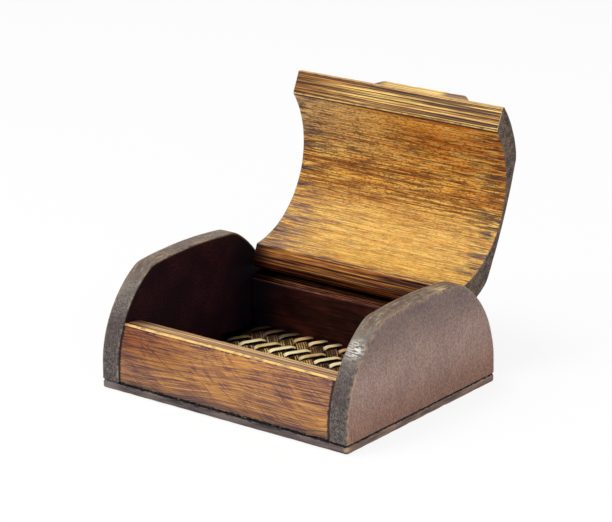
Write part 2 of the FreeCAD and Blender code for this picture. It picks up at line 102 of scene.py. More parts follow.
class Finish(Nodes):
    """A finish laid up in coats on the piece's own coordinates, in millimetres."""

    def __init__(self, name, specular=0.35):
        self.material = bpy.data.materials.new(name)
        self.material.use_nodes = True
        super().__init__(self.material.node_tree)
        self.shader = self.tree.nodes["Principled BSDF"]
        self.feed(self.shader.inputs["Specular IOR Level"], specular)
        self.place = self.out("ShaderNodeTexCoord", name="Object")

    def grain(self, x, y, z, shift=0.0, turn=None, detail=3.0, rough=0.55, sway=None):
        """Noise with blots of x by y by z millimetres, from 0 to 1 and mostly near a half.
        Sway bends it in waves of the first size by about a third of the second."""
        place = self.place
        if sway:
            size, reach = sway
            waves = {"Vector": place, "Scale": 1 / (size * MM), "Detail": 0.0}
            push = {0: self.out("ShaderNodeTexNoise", waves, "Color"), 1: [reach * MM] * 3, 2: place}
            place = self.out("ShaderNodeVectorMath", push, operation="MULTIPLY_ADD")
        if turn:
            turned = {"Vector": place, "Rotation": [math.radians(a) for a in turn]}
            place = self.out("ShaderNodeMapping", turned)
        spread = {"Vector": place, "Scale": [1 / (size * MM) for size in (x, y, z)]}
        spread["Location"] = (shift, shift * 1.7, shift * 2.3)
        blots = {"Vector": self.out("ShaderNodeMapping", spread), "Scale": 1.0}
        blots.update({"Detail": detail, "Roughness": rough})
        return self.out("ShaderNodeTexNoise", blots)

    def blend(self, *parts):
        """Sum of values, each with its weight."""
        total = 0.0
        for value, weight in parts:
            total = self.sum("ADD", self.sum("MULTIPLY", value, weight), total)
        return total

    def times(self, *values):
        """Product of values. One that is given with limits stands for the step between them."""
        first, *others = (self.between(*value) if isinstance(value, tuple) else value for value in values)
        for value in others:
            first = self.sum("MULTIPLY", first, value)
        return first

    def shades(self, factor, *stops):
        """Colours that a value runs through, each with the value where it is reached."""
        ramp = self.add("ShaderNodeValToRGB", {"Fac": factor})
        for _ in stops[2:]:
            ramp.color_ramp.elements.new(0.5)
        for element, (position, colour) in zip(ramp.color_ramp.elements, stops):
            element.position = position
            element.color = stain(*colour)
        return ramp.outputs["Color"]

    def ground(self, factor, *stops):
        """First coat of the finish."""
        self.colour = self.shades(factor, *stops)

    def lay(self, coat, *strengths, mode="MIX"):
        """Lays a coat over the finish so far, as strong as the strengths multiplied."""
        upper = stain(*coat) if isinstance(coat, tuple) else coat
        coats = {0: self.times(*strengths), 6: self.colour, 7: upper}
        self.colour = self.out("ShaderNodeMix", coats, 2, data_type="RGBA", blend_type=mode)

    def glaze(self, coat, *strengths):
        """Darkens the finish so far, as a clear coat of a colour does."""
        self.lay(coat, *strengths, mode="MULTIPLY")

    def axis(self, name):
        """One coordinate of the place, in millimetres."""
        return self.sum("MULTIPLY", self.out("ShaderNodeSeparateXYZ", {0: self.place}, name), 1 / MM)

    def painted(self, name):
        """A value stored on the mesh's points."""
        return self.out("ShaderNodeAttribute", name="Fac", attribute_name=name)

    def measure(self, operation, first, second):
        return self.out("ShaderNodeVectorMath", {0: first, 1: second}, "Value", operation=operation)

    def near(self, centre, radius):
        """1 at a place given in millimetres, falling to 0 at the radius."""
        return self.between(self.measure("DISTANCE", self.place, [c * MM for c in centre]), radius * MM, 0.0)

    def glued(self, clear, full):
        """Ragged black glue by the base joint, between two heights. It is clean under the left panel."""
        ragged = self.blend((self.grain(1.6, 1.6, 1.6, shift=2.2, detail=2), 1.2), (self.axis("Z"), 1.0))
        self.lay(GLUE_BLACK, (ragged, clear, full), (self.axis("X"), -49.0, -47.5))

    def done(self, roughness, height, depth=0.1, strength=0.6):
        """The material, with its roughness, and a bump whose depth is in millimetres."""
        bump = {"Height": height, "Distance": depth * MM, "Strength": strength}
        normal = self.out("ShaderNodeBump", bump)
        coats = {"Base Color": self.colour, "Roughness": self.times(roughness), "Normal": normal}
        for key, value in coats.items():
            self.feed(self.shader.inputs[key], value)
        return self.material


def placed(name, data):
    """New object at the origin of the scene."""
    made = bpy.data.objects.new(name, data)
    bpy.context.scene.collection.objects.link(made)
    return made


def outward(points):
    """Normals of a closed outline that runs counter-clockwise."""
    normals = []
    for k in range(len(points)):
        run = (points[(k + 1) % len(points)] - points[k - 1]).normalized()
        normals.append(Vector((run.y, -run.x)))
    return normals


def slab(name, outline, stations, at, finishes):
    """Closed piece swept through stations, each a place, an inset, a wear and a finish or None.
    The outline's points have a wear and a finish each, and at() insets them and puts them in place."""
    normals = outward([point for point, _, _ in outline])
    count = len(outline)
    corners, worn, faces, slots = [], [], [], []
    for along, inset, wear, _ in stations:
        for (point, arris, _), normal in zip(outline, normals):
            worn.append(max(wear, arris))
            corners.append(at(along, point, normal, inset, worn[-1]) * MM)
    for j, (_, _, _, finish) in enumerate(stations[:-1]):
        for k in range(count):
            n = (k + 1) % count
            faces.append((j * count + k, j * count + n, (j + 1) * count + n, (j + 1) * count + k))
            slots.append(outline[k][2] if finish is None else finish)
    last = len(corners) - count
    faces += [tuple(range(count)), tuple(range(last, last + count))]
    slots += [stations[0][3], stations[-1][3]]
    mesh = bpy.data.meshes.new(name)
    mesh.from_pydata(corners, [], faces)
    work = bmesh.new()
    work.from_mesh(mesh)
    bmesh.ops.recalc_face_normals(work, faces=work.faces)
    work.to_mesh(mesh)
    work.free()
    mesh.polygons.foreach_set("material_index", slots)
    mesh.attributes.new("wear", "FLOAT", "POINT").data.foreach_set("value", worn)
    mesh.shade_smooth()
    mesh.set_sharp_from_angle(angle=CREASE)
    for finish in finishes:
        mesh.materials.append(finish)
    return placed(name, mesh)


def curve(centre, radius, start, end, step=1.0):
    """Points along an arc, angles in radians."""
    count = max(2, int(abs(end - start) * radius / step) + 1)
    angles = (start + (end - start) * i / count for i in range(count + 1))
    return [Vector((centre[0] + radius * math.cos(a), centre[1] + radius * math.sin(a))) for a in angles]


def spaced(points, step=1.2):
    """Straight runs between points, cut into short steps."""
    made = [points[0]]
    for start, end in zip(points, points[1:]):
        count = max(1, int((end - start).length / step))
        made += [start.lerp(end, (i + 1) / count) for i in range(count)]
    return made


def dent(x, y, z, size, seed=0.0):
    """Uneven depth in lumps of a size in millimetres, none over about half of a surface."""
    return max(0.0, noise.noise(Vector((x / size + seed, y / size, z / size))))


board = Finish("stained_board", 0.25)
patches = board.grain(14, 14, 3, detail=4)
saw_lines = board.grain(9, 9, 0.35, shift=3.1)
board_tone = board.blend((patches, 0.6), (saw_lines, 0.4))
at_side = board.between(board.sum("ABSOLUTE", board.axis("X")), 54.1, 54.9)
broken = board.between(board.grain(4, 4, 2, shift=8), 0.42, 0.58)
# Painted light: the two ends of the board take a lighter, lit copy of the stain, and the front keeps the
# darker one
painted_lit_sides = board.shades(board_tone, (0.4, (80, 63, 57)), (0.5, (128, 104, 93)), (0.6, (166, 136, 120)))
board.ground(board_tone, (0.4, (48, 41, 42)), (0.5, (84, 73, 72)), (0.6, (116, 101, 96)))
board.lay(painted_lit_sides, at_side)
# Painted light: the left end of the board is lightened where it faces away from the lamps
board.lay((136, 123, 118), (board.axis("X"), -51, -42, 0.65, 0.0))
board.lay((156, 108, 78), board.painted("wear"), broken, (at_side, 0.0, 1.0, 0.25, 0.8))
board.lay((200, 166, 128), board.near((BASE_HALF_WIDTH, -BASE_HALF_DEPTH, 1.4), 2.4), broken)
board.glued(BASE_THICKNESS + 0.15, BASE_THICKNESS + 0.35)
board_finish = board.done((patches, 0.35, 0.65, 0.48, 0.64), saw_lines, 0.15)

plan = []
for sx, sy, turn in ((1, -1, -90), (1, 1, 0), (-1, 1, 90), (-1, -1, 180)):
    centre = (sx * (BASE_HALF_WIDTH - BASE_CORNER), sy * (BASE_HALF_DEPTH - BASE_CORNER))
    plan += curve(centre, BASE_CORNER, math.radians(turn), math.radians(turn + 90), 0.4)
plan = spaced(plan + plan[:1])[:-1]
board_rings = (
    (0.0, BASE_FACE_RING, 0.0), (0.0, BASE_EASING + 0.5, 0.0), (0.0, BASE_EASING, 0.6), (0.2, 0.2, 1.0),
    (BASE_EASING, 0.0, 0.7), (1.2, 0.0, 0.0), (2.2, 0.0, 0.0), (BASE_THICKNESS - JOINT_GROOVE, 0.0, 0.0),
    (BASE_THICKNESS, JOINT_GROOVE, 0.0), (BASE_THICKNESS, BASE_FACE_RING, 0.0),
)


def board_place(height, point, normal, inset, wear):
    nick = wear * BASE_NICK * dent(point.x, point.y, height, NICK_SIZE)
    return Vector((*(point - normal * (inset + nick)), height))


base_board = slab(
    "stained_base_board", [(p, 0.0, 0) for p in plan], [(*ring, 0) for ring in board_rings],
    board_place, [board_finish],
)
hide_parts("base_board")
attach(base_board, "box")

# End panels: two arched boards of dark stained hardwood, sawn to the same outline.
# Their rims are sanded grey by use, and they stand on the base board at the two ends.
PANEL_THICKNESS, PANEL_TOP = 7.6, 43.6
INNER_HALF_WIDTH = BASE_HALF_WIDTH - PANEL_THICKNESS
SHOULDER_HEIGHT = 7.5
HALF_CROWN, CROWN_RISE, CROWN_BLEND = 23.5, 1.4, 10.0
RIM_ROUNDING = 0.9
OUTER_RIM = PANEL_THICKNESS - RIM_ROUNDING
PANEL_FACE_RING = 7.0
PANEL_NICK = 0.16
SHOULDER_RUN = BASE_HALF_DEPTH - HALF_CROWN
SHOULDER_RISE = PANEL_TOP - CROWN_RISE - SHOULDER_HEIGHT
SHOULDER_RADIUS = (SHOULDER_RUN**2 + SHOULDER_RISE**2) / (2 * SHOULDER_RUN)
SHOULDER_CENTRE = Vector((BASE_HALF_DEPTH - SHOULDER_RADIUS, SHOULDER_HEIGHT))
CROWN_RADIUS = (HALF_CROWN**2 + CROWN_RISE**2) / (2 * CROWN_RISE)
CROWN_CENTRE = Vector((0.0, PANEL_TOP - CROWN_RADIUS))
# Places of the near-white streaks and of the torn chip on the right panel's front rim
PALE_STREAKS_SPOT, CHIP = (51.0, -33.9, 34.0), (53.2, 12.5, 43.2)
IN_FACE, RIM, OUT_FACE = range(3)


def angle(centre, point):
    return math.atan2(point.y - centre.y, point.x - centre.x)


def rounding_centre(first, first_reach, second, second_reach):
    """Where a rounding that touches two arcs from inside has its centre, on the back's side."""
    way = second - first
    gap = way.length
    share = (first_reach**2 - second_reach**2 + gap**2) / (2 * gap)
    side = math.sqrt(first_reach**2 - share**2)
    return first + way * (share / gap) + Vector((-way.y, way.x)) * (side / gap)


def mirrored(points):
    """The same line on the other side of the box, run the other way."""
    return [Vector((-p.x, p.y)) for p in reversed(points)]


def arch(inset, low):
    """Outer line of the box from a height at the back over the crown to the same height in front."""
    shoulder, crown = SHOULDER_RADIUS - inset, CROWN_RADIUS - inset
    bend = rounding_centre(SHOULDER_CENTRE, shoulder - CROWN_BLEND, CROWN_CENTRE, crown - CROWN_BLEND)
    start = math.asin(max(0.0, low - SHOULDER_HEIGHT) / shoulder)
    back = curve(SHOULDER_CENTRE, shoulder, start, angle(SHOULDER_CENTRE, bend))
    back += curve(bend, CROWN_BLEND, angle(SHOULDER_CENTRE, bend), angle(CROWN_CENTRE, bend), 0.6)[1:]
    back += curve(CROWN_CENTRE, crown, angle(CROWN_CENTRE, bend), math.pi / 2)[1:]
    return back + mirrored(back[:-1])


def panel_finish(face):
    """Stain that differs between the dull outer face, the grey sanded rim and the inner face, which is
    near-black from dark stain and painted shade.
    """
    paint = Finish("stained_panel_" + face, 0.12 if face == "inside" else 0.22)
    grain, lay = paint.grain, paint.lay
    clouds = grain(11, 11, 11, shift=5.0, detail=4)
    specks = grain(0.6, 0.6, 0.75, shift=1.0, rough=0.6)
    flecks = grain(0.5, 0.5, 1.0, shift=9.0, detail=2)
    rubs = grain(2, 2, 2, shift=4.0)
    wear, height = paint.painted("wear"), paint.axis("Z")
    mixed = paint.blend((grain(3, 0.7, 7, shift=2.0), 0.15), (clouds, 0.25), (specks, 0.6))
    if face == "outside":
        paint.ground(mixed, (0.37, (122, 100, 95)), (0.5, (151, 125, 116)), (0.63, (178, 150, 135)))
        paint.glaze((222, 188, 170), (height, 4, 22, 0.75, 0.0))
        paint.glaze((205, 208, 214), (height, 22, 40))
        lay((186, 152, 106), (flecks, 0.6, 0.7, 0.0, 0.6))
        lay((88, 72, 72), (flecks, 0.3, 0.4, 0.5, 0.0))
        lay((178, 150, 116), wear, (rubs, 0.44, 0.58), 0.5)
        roughness = (clouds, 0.2, 0.8, 0.5, 0.7)
    elif face == "rim":
        lengthways = grain(0.7, 7, 2.5, shift=6.5, detail=2)
        scratches = grain(2.4, 0.5, 0.5, shift=3.0)
        on_top = (height, 38, 42)
        paint.ground(mixed, (0.4, (58, 51, 52)), (0.5, (92, 83, 81)), (0.6, (132, 120, 111)))
        lay((58, 48, 47), (height, 12, 19), (height, 24, 30, 0.5, 0.0))
        # Paler where the rim turns up over the top: partly painted light from above, partly scuffing
        lay((132, 121, 107), (height, 25, 35), (clouds, 0.35, 0.6, 0.3, 0.6))
        lay((182, 156, 120), (lengthways, 0.54, 0.62), on_top, 0.5)
        lay((60, 46, 40), (lengthways, 0.46, 0.38), on_top, 0.6)
        lay((52, 42, 40), (flecks, 0.3, 0.4, 0.6, 0.0))
        lay((94, 66, 46), (height, 35, 41), (rubs, 0.44, 0.56), 0.6)
        lay((168, 150, 124), wear, (rubs, 0.45, 0.6), 0.55)
        # Near-white streaks round one spot of the right panel's front rim
        lay((226, 222, 212), paint.near(PALE_STREAKS_SPOT, 5.5), (scratches, 0.44, 0.56))
        lay((190, 166, 126), paint.near(CHIP, 6.0), (lengthways, 0.45, 0.53))
        roughness = (clouds, 0.2, 0.8, 0.45, 0.65)
    else:
        # The inner face is near-black, partly from dark stain and partly from painted shade
        paint.ground(mixed, (0.38, (12, 3, 11)), (0.5, (29, 9, 17)), (0.62, (60, 24, 27)))
        # Painted shade: blacker towards the back wall
        lay((3, 1, 7), (paint.axis("Y"), 12, 30, 0.0, 0.9))
        lay((110, 92, 78), wear, 0.5)
        roughness = (clouds, 0.2, 0.8, 0.5, 0.65)
    paint.glued(BASE_THICKNESS + 1.15, BASE_THICKNESS + 0.95)
    return paint.done(roughness, mixed, 0.14)


panel_finishes = [panel_finish(face) for face in ("inside", "rim", "outside")]
panel_foot = [
    Vector((side * (BASE_HALF_DEPTH - inset), BASE_THICKNESS + JOINT_GROOVE - inset))
    for side, inset in ((-1, 0.0), (-1, JOINT_GROOVE), (1, JOINT_GROOVE), (1, 0.0))
]
panel_line = [(p, 0.0, RIM) for p in spaced(panel_foot) + arch(0.0, SHOULDER_HEIGHT)]
panel_stations = [
    (0.0, PANEL_FACE_RING, 0.0, IN_FACE), (0.0, 1.1, 0.0, IN_FACE), (0.0, 0.45, 0.5, RIM),
    (0.14, 0.12, 1.0, RIM), (0.45, 0.0, 0.5, RIM), (1.1, 0.0, 0.0, RIM), (3.5, 0.0, 0.0, RIM),
    (OUTER_RIM - 1.0, 0.0, 0.0, RIM), (OUTER_RIM, 0.0, 0.4, RIM),
    (PANEL_THICKNESS - 0.3 * RIM_ROUNDING, 0.3 * RIM_ROUNDING, 1.0, OUT_FACE),
    (PANEL_THICKNESS, RIM_ROUNDING, 0.6, OUT_FACE), (PANEL_THICKNESS, RIM_ROUNDING + 0.9, 0.0, OUT_FACE),
    (PANEL_THICKNESS, PANEL_FACE_RING, 0.0, OUT_FACE),
]
for name, side in (("left_end_panel", -1), ("right_end_panel", 1)):

    def panel_place(depth, point, normal, inset, wear):
        nick = wear * PANEL_NICK * dent(side * 9, point.x, point.y, NICK_SIZE)
        moved = point - normal * (inset + nick)
        if point.y < SHOULDER_HEIGHT:
            moved = Vector((point.x * (1 - inset / BASE_HALF_DEPTH), point.y))
        if point.y < BASE_THICKNESS + 0.01:
            moved.y = BASE_THICKNESS + min(inset, JOINT_GROOVE)
        return Vector((side * (INNER_HALF_WIDTH + depth), moved.x, moved.y))

    panel = slab(name + "_board", panel_line, panel_stations, panel_place, panel_finishes)
    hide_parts(name)
    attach(panel, "box")

# Front and back walls: thick bamboo slabs planed to the panels' curve outside and flat inside.
# They are glued between the panels on blind dowels, and the sawn fibres show along their tops.
WALL_RECESS, WALL_INNER = 0.4, 31.6
FRONT_TOP, FRONT_INNER_TOP = 24.6, 23.7
BACK_TOP, BACK_INNER_TOP = 24.2, 22.4
LIP_BEVEL, ARRIS, HIDDEN_CUT = 0.46, 0.22, 0.1
RUBBED_REACH, CLEAR_REACH = 0.26, 0.7
TINY = 1e-9
RUBBED_OFF, WALL_CHIP, CHIP_SIZE = 0.03, 0.25, 3.0
WALL_STEPS = 56
SKIN, SAWN, LINING = range(3)
STAIN_LINES = (((-38.6, 20.6), (-27.6, 15.9), 0.42), ((-43.6, 23.2), (-37.0, 20.8), 0.3))


def section(*runs):
    """Closed outline from runs, each its points, its finish and how far the corner at its start is cut."""
    outline = []
    for (points, finish, cut), (_, _, next_cut) in zip(runs, runs[1:] + runs[:1]):
        path = spaced(points)
        lengths = [0.0]
        for a, b in zip(path, path[1:]):
            lengths.append(lengths[-1] + (b - a).length)
        end = lengths[-1] - next_cut
        marks = {cut: 1.0, cut + RUBBED_REACH: 0.0, end - RUBBED_REACH: 0.0, end: 1.0}
        marks.update({at: 0.0 for at in lengths if cut + CLEAR_REACH < at < end - CLEAR_REACH})
        for at in sorted(marks):
            k = max(n for n, length in enumerate(lengths[:-1]) if length <= at + TINY)
            share = (at - lengths[k]) / max(lengths[k + 1] - lengths[k], TINY)
            outline.append((path[k].lerp(path[k + 1], share), marks[at], finish))
    return outline


def streak(paint, start, end, wide):
    """1 along a straight mark on an upright face, between two places across and up in millimetres."""
    run = end - start
    reach = run.length / 2
    run.normalize()
    marks = []
    for way, near, far in ((run, reach * 0.6, reach), (Vector((-run.y, run.x)), 0.0, wide)):
        along = paint.measure("DOT_PRODUCT", paint.place, (way.x / MM, 0.0, way.y / MM))
        off = paint.sum("SUBTRACT", along, way.dot(start + end) / 2)
        marks.append(paint.between(paint.sum("ABSOLUTE", off), far, near))
    return paint.times(*marks)


def bamboo_skin(name, low, middle, high, lip=None):
    """Varnished outer face of a culm: fine wavy fibres along its length, with slanting darker figure.
    With a lip, a ragged dark line runs under it, and the ends are dark where they meet the panels."""
    paint = Finish(name, 0.25)
    grain, lay = paint.grain, paint.lay
    deep = 0.25 if lip is None else 8.0
    fibres, gold, purple = (
        grain(long, deep, wide, shift=shift, turn=(0, 3, 0), sway=(40, 6), detail=detail)
        for long, wide, shift, detail in ((34, 0.25, 1.0, 1), (14, 0.2, 6.0, 0), (16, 0.2, 4.2, 0))
    )
    figure = grain(18, 3.4, 3.4, shift=2.4, turn=(0, -24, 0), sway=(14, 6))
    slants = grain(8, 0.7, 0.7, shift=8.4, turn=(0, -30, 0), sway=(16, 4), detail=1)
    glow = grain(22, 8, 8, shift=7.7, turn=(0, -14, 0), detail=2)
    mixed = paint.blend((fibres, 0.62), (figure, 0.38))
    paint.ground(mixed, (0.41, low), (0.5, middle), (0.59, high))
    lay((210, 146, 66), (glow, 0.5, 0.6, 0.0, 0.45))
    lay((104, 70, 72), (glow, 0.38, 0.48, 0.45, 0.0))
    lay((228, 166, 82), (gold, 0.52, 0.6, 0.0, 0.6))
    lay((80, 52, 72), (purple, 0.52, 0.6, 0.0, 0.55))
    lay((88, 56, 60), (slants, 0.56, 0.66, 0.0, 0.5))
    lay((222, 180, 112), paint.painted("wear"), 0.5)
    if lip is not None:
        height, along = paint.axis("Z"), paint.axis("X")
        ragged = paint.blend((grain(1.8, 2, 1.0, shift=5.1), 1.8), (height, 1.0))
        out = paint.blend((grain(1.2, 1.2, 1.6, shift=3.3), 1.6), (paint.sum("ABSOLUTE", along), 1.0))
        paint.glaze((190, 158, 150), (height, 8, 20), (along, 0, -46))
        # Painted shade: darker towards the foot of the wall, above the joint with the base
        lay((62, 44, 46), (height, 3.2, 7.5, 0.7, 0.0))
        lay((40, 22, 26), (ragged, lip + 0.35, lip + 0.6), 0.9)
        lay(GLUE_BLACK, (ragged, BASE_THICKNESS + 1.8, BASE_THICKNESS + 1.6))
        for start, end, wide in STAIN_LINES:
            lay((66, 44, 58), streak(paint, Vector(start), Vector(end), wide), 0.75)
        lay((16, 11, 13), (out, INNER_HALF_WIDTH - 0.4, INNER_HALF_WIDTH - 0.1), 0.9)
    return paint.done((mixed, 0.35, 0.65, 0.5, 0.36), mixed, 0.12, 0.6)


def sawn_fibres(name, dark, brown, tan, straw, rubbed, wide=0.38, shades=(), gloss=0.25):
    """Sawn edge of a culm: straight bundles of pale and dark fibres along it, rubbed at the corners.
    Each shade is painted shade that darkens the edge as a shadow would; it gives an axis, where it is clear
    and where it is full, a colour and a strength."""
    paint = Finish(name, gloss)
    bundles = paint.grain(90, wide, wide, shift=3.0, detail=2)
    breaks = paint.grain(9, 0.3, 0.3, shift=8.0, detail=2)
    seams = paint.grain(60, 0.6 * wide, 0.6 * wide, shift=5.0, detail=1)
    mixed = paint.blend((bundles, 0.75), (breaks, 0.25))
    paint.ground(mixed, (0.38, dark), (0.46, brown), (0.53, tan), (0.61, straw))
    paint.lay(dark, (seams, 0.5, 0.57, 0.0, 0.85))
    # Painted shade, multiplied over the fibres
    for axis, clear, full, shadow, strength in shades:
        paint.glaze(shadow, (paint.axis(axis), clear, full, 0.0, strength))
    rubs = paint.grain(3, 3, 3, shift=7.0)
    paint.lay(rubbed, paint.painted("wear"), (rubs, 0.36, 0.54, 0.25, 1.0), 0.85)
    return paint.done((mixed, 0.35, 0.65, 0.62, 0.45), mixed, 0.22, 0.8)


def lining(name, low, middle, high):
    """Dark stain on a face inside the box, with some grain showing through, and painted shade that makes it
    blackest at the left.
    """
    paint = Finish(name, 0.15)
    clouds = paint.grain(12, 8, 8, shift=1.0)
    mixed = paint.blend((paint.grain(12, 0.8, 0.8, shift=4.0, detail=4), 0.55), (clouds, 0.45))
    paint.ground(mixed, (0.4, low), (0.5, middle), (0.62, high))
    paint.lay((120, 80, 62), paint.painted("wear"), 0.2)
    # Painted shade: blacker towards the left end, blackest in the corner by the left panel
    for clear, dark in ((-12, 0.6), (-30, 0.95)):
        paint.lay((4, 1, 6), (paint.axis("X"), -43, clear, dark, 0.0))
    return paint.done((clouds, 0.35, 0.65, 0.42, 0.58), mixed, 0.08)


wall_finishes = [
    bamboo_skin("bamboo_wall_skin", (94, 58, 58), (156, 102, 66), (196, 138, 82), lip=FRONT_TOP - LIP_BEVEL),
    # The front wall's top has painted shade towards its inner side and towards its left end
    sawn_fibres(
        "bamboo_wall_top", (108, 74, 60), (176, 134, 92), (224, 186, 130), (248, 218, 160), (246, 202, 116),
        1.3, (("Y", -36, -32.2, (214, 202, 192), 0.35), ("X", -34, -45, (122, 88, 86), 0.9)),
    ),
    lining("bamboo_wall_lining", (28, 8, 7), (50, 18, 14), (80, 34, 25)),
]
# Painted shadow: the back wall's top goes black towards its outer side, under the lid, and towards its left
# end
back_wall_top = sawn_fibres(
    "bamboo_back_wall_top", (16, 8, 14), (76, 42, 36), (176, 106, 68), (246, 170, 110), (70, 44, 40),
    0.7, (("Y", 35.8, 37.6, (2, 1, 5), 0.98), ("X", -24, -42, (6, 3, 8), 0.92)), gloss=0.0,
)
back_wall_finishes = [wall_finishes[SKIN], back_wall_top, wall_finishes[LINING]]
wall_stations = [(-INNER_HALF_WIDTH, 0.45, 0.0, SAWN), (-INNER_HALF_WIDTH, 0.15, 0.0, None)]
for i in range(WALL_STEPS + 1):
    wall_stations.append(((2 * i / WALL_STEPS - 1) * (INNER_HALF_WIDTH - 0.15), 0.0, 0.0, None))
wall_stations += [(INNER_HALF_WIDTH, 0.3, 0.0, SAWN), (INNER_HALF_WIDTH, 0.48, 0.0, SAWN)]
wall_radius = SHOULDER_RADIUS - WALL_RECESS
wall_outer = BASE_HALF_DEPTH - WALL_RECESS
for name, side, top, inner_top, finishes in (
    ("front_wall", -1, FRONT_TOP, FRONT_INNER_TOP, wall_finishes),
    ("back_wall", 1, BACK_TOP, BACK_INNER_TOP, back_wall_finishes),
):
    rise = math.asin((top - SHOULDER_HEIGHT) / wall_radius)
    skin_line = [Vector((wall_outer, BASE_THICKNESS))] + curve(SHOULDER_CENTRE, wall_radius, 0.0, rise)
    corner, foot = Vector((side * WALL_INNER, inner_top)), Vector((side * WALL_INNER, BASE_THICKNESS))
    if side > 0:
        wall_line = section(
            ([foot, skin_line[0]], SKIN, HIDDEN_CUT), (skin_line, SKIN, JOINT_GROOVE),
            ([skin_line[-1], corner], SAWN, LIP_BEVEL), ([corner, foot], LINING, ARRIS),
        )
    else:
        skin_line = mirrored(skin_line)
        wall_line = section(
            ([skin_line[-1], foot], SKIN, JOINT_GROOVE), ([foot, corner], LINING, HIDDEN_CUT),
            ([corner, skin_line[0]], SAWN, ARRIS), (skin_line, SKIN, LIP_BEVEL),
        )
        # The bevel along the front lip shows bare fibres
        wall_line = [(p, w, SAWN if s == SKIN and p.y > top - LIP_BEVEL else s) for p, w, s in wall_line]

    def wall_place(along, point, normal, inset, wear):
        chip = 0.0
        if point.y > BASE_THICKNESS + 1.0:
            chip = wear * (RUBBED_OFF + WALL_CHIP * dent(along, side * 5, point.y, CHIP_SIZE))
        return Vector((along, *(point - normal * (inset + chip))))

    wall = slab(name + "_bamboo", wall_line, wall_stations, wall_place, finishes)
    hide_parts(name)
    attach(wall, "box")

# Wall dowels: eight short pegs split from bamboo, glued into blind bores in the walls and the panels.
# They hold the walls between the panels, and nothing of them shows.
pegs = Finish("split_bamboo_pegs")
peg_lines = pegs.grain(12, 0.4, 0.4)
pegs.ground(peg_lines, (0.35, (142, 108, 66)), (0.65, (206, 172, 118)))
peg_finish = pegs.done((peg_lines, 0.35, 0.65, 0.66, 0.52), peg_lines)


def of_peg_wood(*names):
    for name in names:
        coats = frame["nodes"][name].data.materials
        coats.clear()
        coats.append(peg_finish)


of_peg_wood("front_wall_dowels", "back_wall_dowels")

# Glue line: dark hide glue squeezed out where the panels and walls meet the base board.
# It was wiped off while soft, so it is left as a broken bead round the joint.
GLUE_RADIUS, GLUE_LUMP, GLUE_STEP, GLUE_SIDES = 0.5, 1.6, 0.45, 6
GLUE_INSET, GLUE_LIFT, GLUE_WANDER = 0.62, 0.25, (-0.06, 0.08)
GLUE_RUNS, GLUE_GAPS = (2.0, 13.0), (0.25, 0.4, 0.9, 2.6)
glue = Finish("squeezed_out_glue", 0.1)
glue_spots = glue.grain(0.8, 0.8, 0.8, detail=2)
glue.ground(glue_spots, (0.4, (7, 5, 6)), (0.62, (26, 20, 20)), (0.72, (140, 130, 120)))
glue_finish = glue.done((glue_spots, 0.4, 0.7, 0.42, 0.7), glue_spots)


class Growth(Nodes):
    """A tree that grows strands of one finish along lines, from named sizes."""

    def __init__(self, name, *sizes):
        super().__init__(bpy.data.node_groups.new(name, "GeometryNodeTree"))
        kinds = {"Geometry": "Geometry", "Sides": "Int", "Finish": "Material"}
        for label in ("Geometry", *sizes, "Step", "Sides", "Finish"):
            kind = "NodeSocket" + kinds.get(label, "Float")
            self.tree.interface.new_socket(label, in_out="INPUT", socket_type=kind)
        self.tree.interface.new_socket("Geometry", in_out="OUTPUT", socket_type="NodeSocketGeometry")
        self.given = self.add("NodeGroupInput").outputs
        path = self.out("GeometryNodeMeshToCurve", {"Mesh": self.given["Geometry"]})
        steps = {"Curve": path, "Length": self.given["Step"]}
        self.path = self.out("GeometryNodeResampleCurve", steps, mode="LENGTH")

    def ring(self, radius):
        ring = {"Resolution": self.given["Sides"], "Radius": radius}
        return self.out("GeometryNodeCurvePrimitiveCircle", ring)

    def strand(self, path, outline, girth=1.0):
        """Closed strands along a path, realized and given their finish."""
        sweep = {"Curve": path, "Profile Curve": outline, "Scale": girth, "Fill Caps": True}
        made = self.out("GeometryNodeCurveToMesh", sweep)
        for kind in ("GeometryNodeSetShadeSmooth", "GeometryNodeRealizeInstances"):
            made = self.out(kind, {"Geometry": made})
        made = self.out("GeometryNodeSetMaterial", {"Geometry": made, "Material": self.given["Finish"]})
        self.add("NodeGroupOutput", {"Geometry": made})
        return self.tree


def bead():
    """Bead that follows a path, thin at its ends and uneven in between."""
    tree = Growth("glue_bead", "Radius", "Lump Size")
    lumps = {"Scale": tree.sum("DIVIDE", 1.0, tree.given["Lump Size"]), "Detail": 1.0}
    swell = tree.between(tree.out("ShaderNodeTexNoise", lumps), 0.3, 0.7, 0.35, 1.3, "LINEAR")
    taper = tree.add("ShaderNodeFloatCurve", {"Value": tree.out("GeometryNodeSplineParameter")})
    points = taper.mapping.curves[0].points
    points[0].location, points[1].location = (0.0, 0.3), (1.0, 0.3)
    points.new(0.1, 0.8)
    points.new(0.9, 0.8)
    taper.mapping.update()
    girth = tree.sum("MULTIPLY", taper.outputs["Value"], swell)
    return tree.strand(tree.path, tree.ring(tree.given["Radius"]), girth)


def grown(name, lines, tree, *sizes):
    """Plain mesh that a tree grows from corners, edges and values stored on them.
    Its sizes, in millimetres, its sides and its finish come in the order of the tree's inputs."""
    corners, edges, values = lines
    mesh = bpy.data.meshes.new(name + "_lines")
    mesh.from_pydata(corners, edges, [])
    for key, numbers in values.items():
        mesh.attributes.new(key, "FLOAT", "POINT").data.foreach_set("value", numbers)
    guide = placed(name + "_lines", mesh)
    growth = guide.modifiers.new("growth", "NODES")
    growth.node_group = tree
    _, *inputs = (item for item in tree.interface.items_tree if item.in_out == "INPUT")
    for item, size in zip(inputs, sizes):
        growth[item.identifier] = size * MM if item.socket_type == "NodeSocketFloat" else size
    bpy.context.view_layer.update()
    seen = guide.evaluated_get(bpy.context.evaluated_depsgraph_get())
    made = bpy.data.meshes.new_from_object(seen)
    made.name = name
    guide.modifiers.remove(growth)
    bpy.data.objects.remove(guide)
    return made


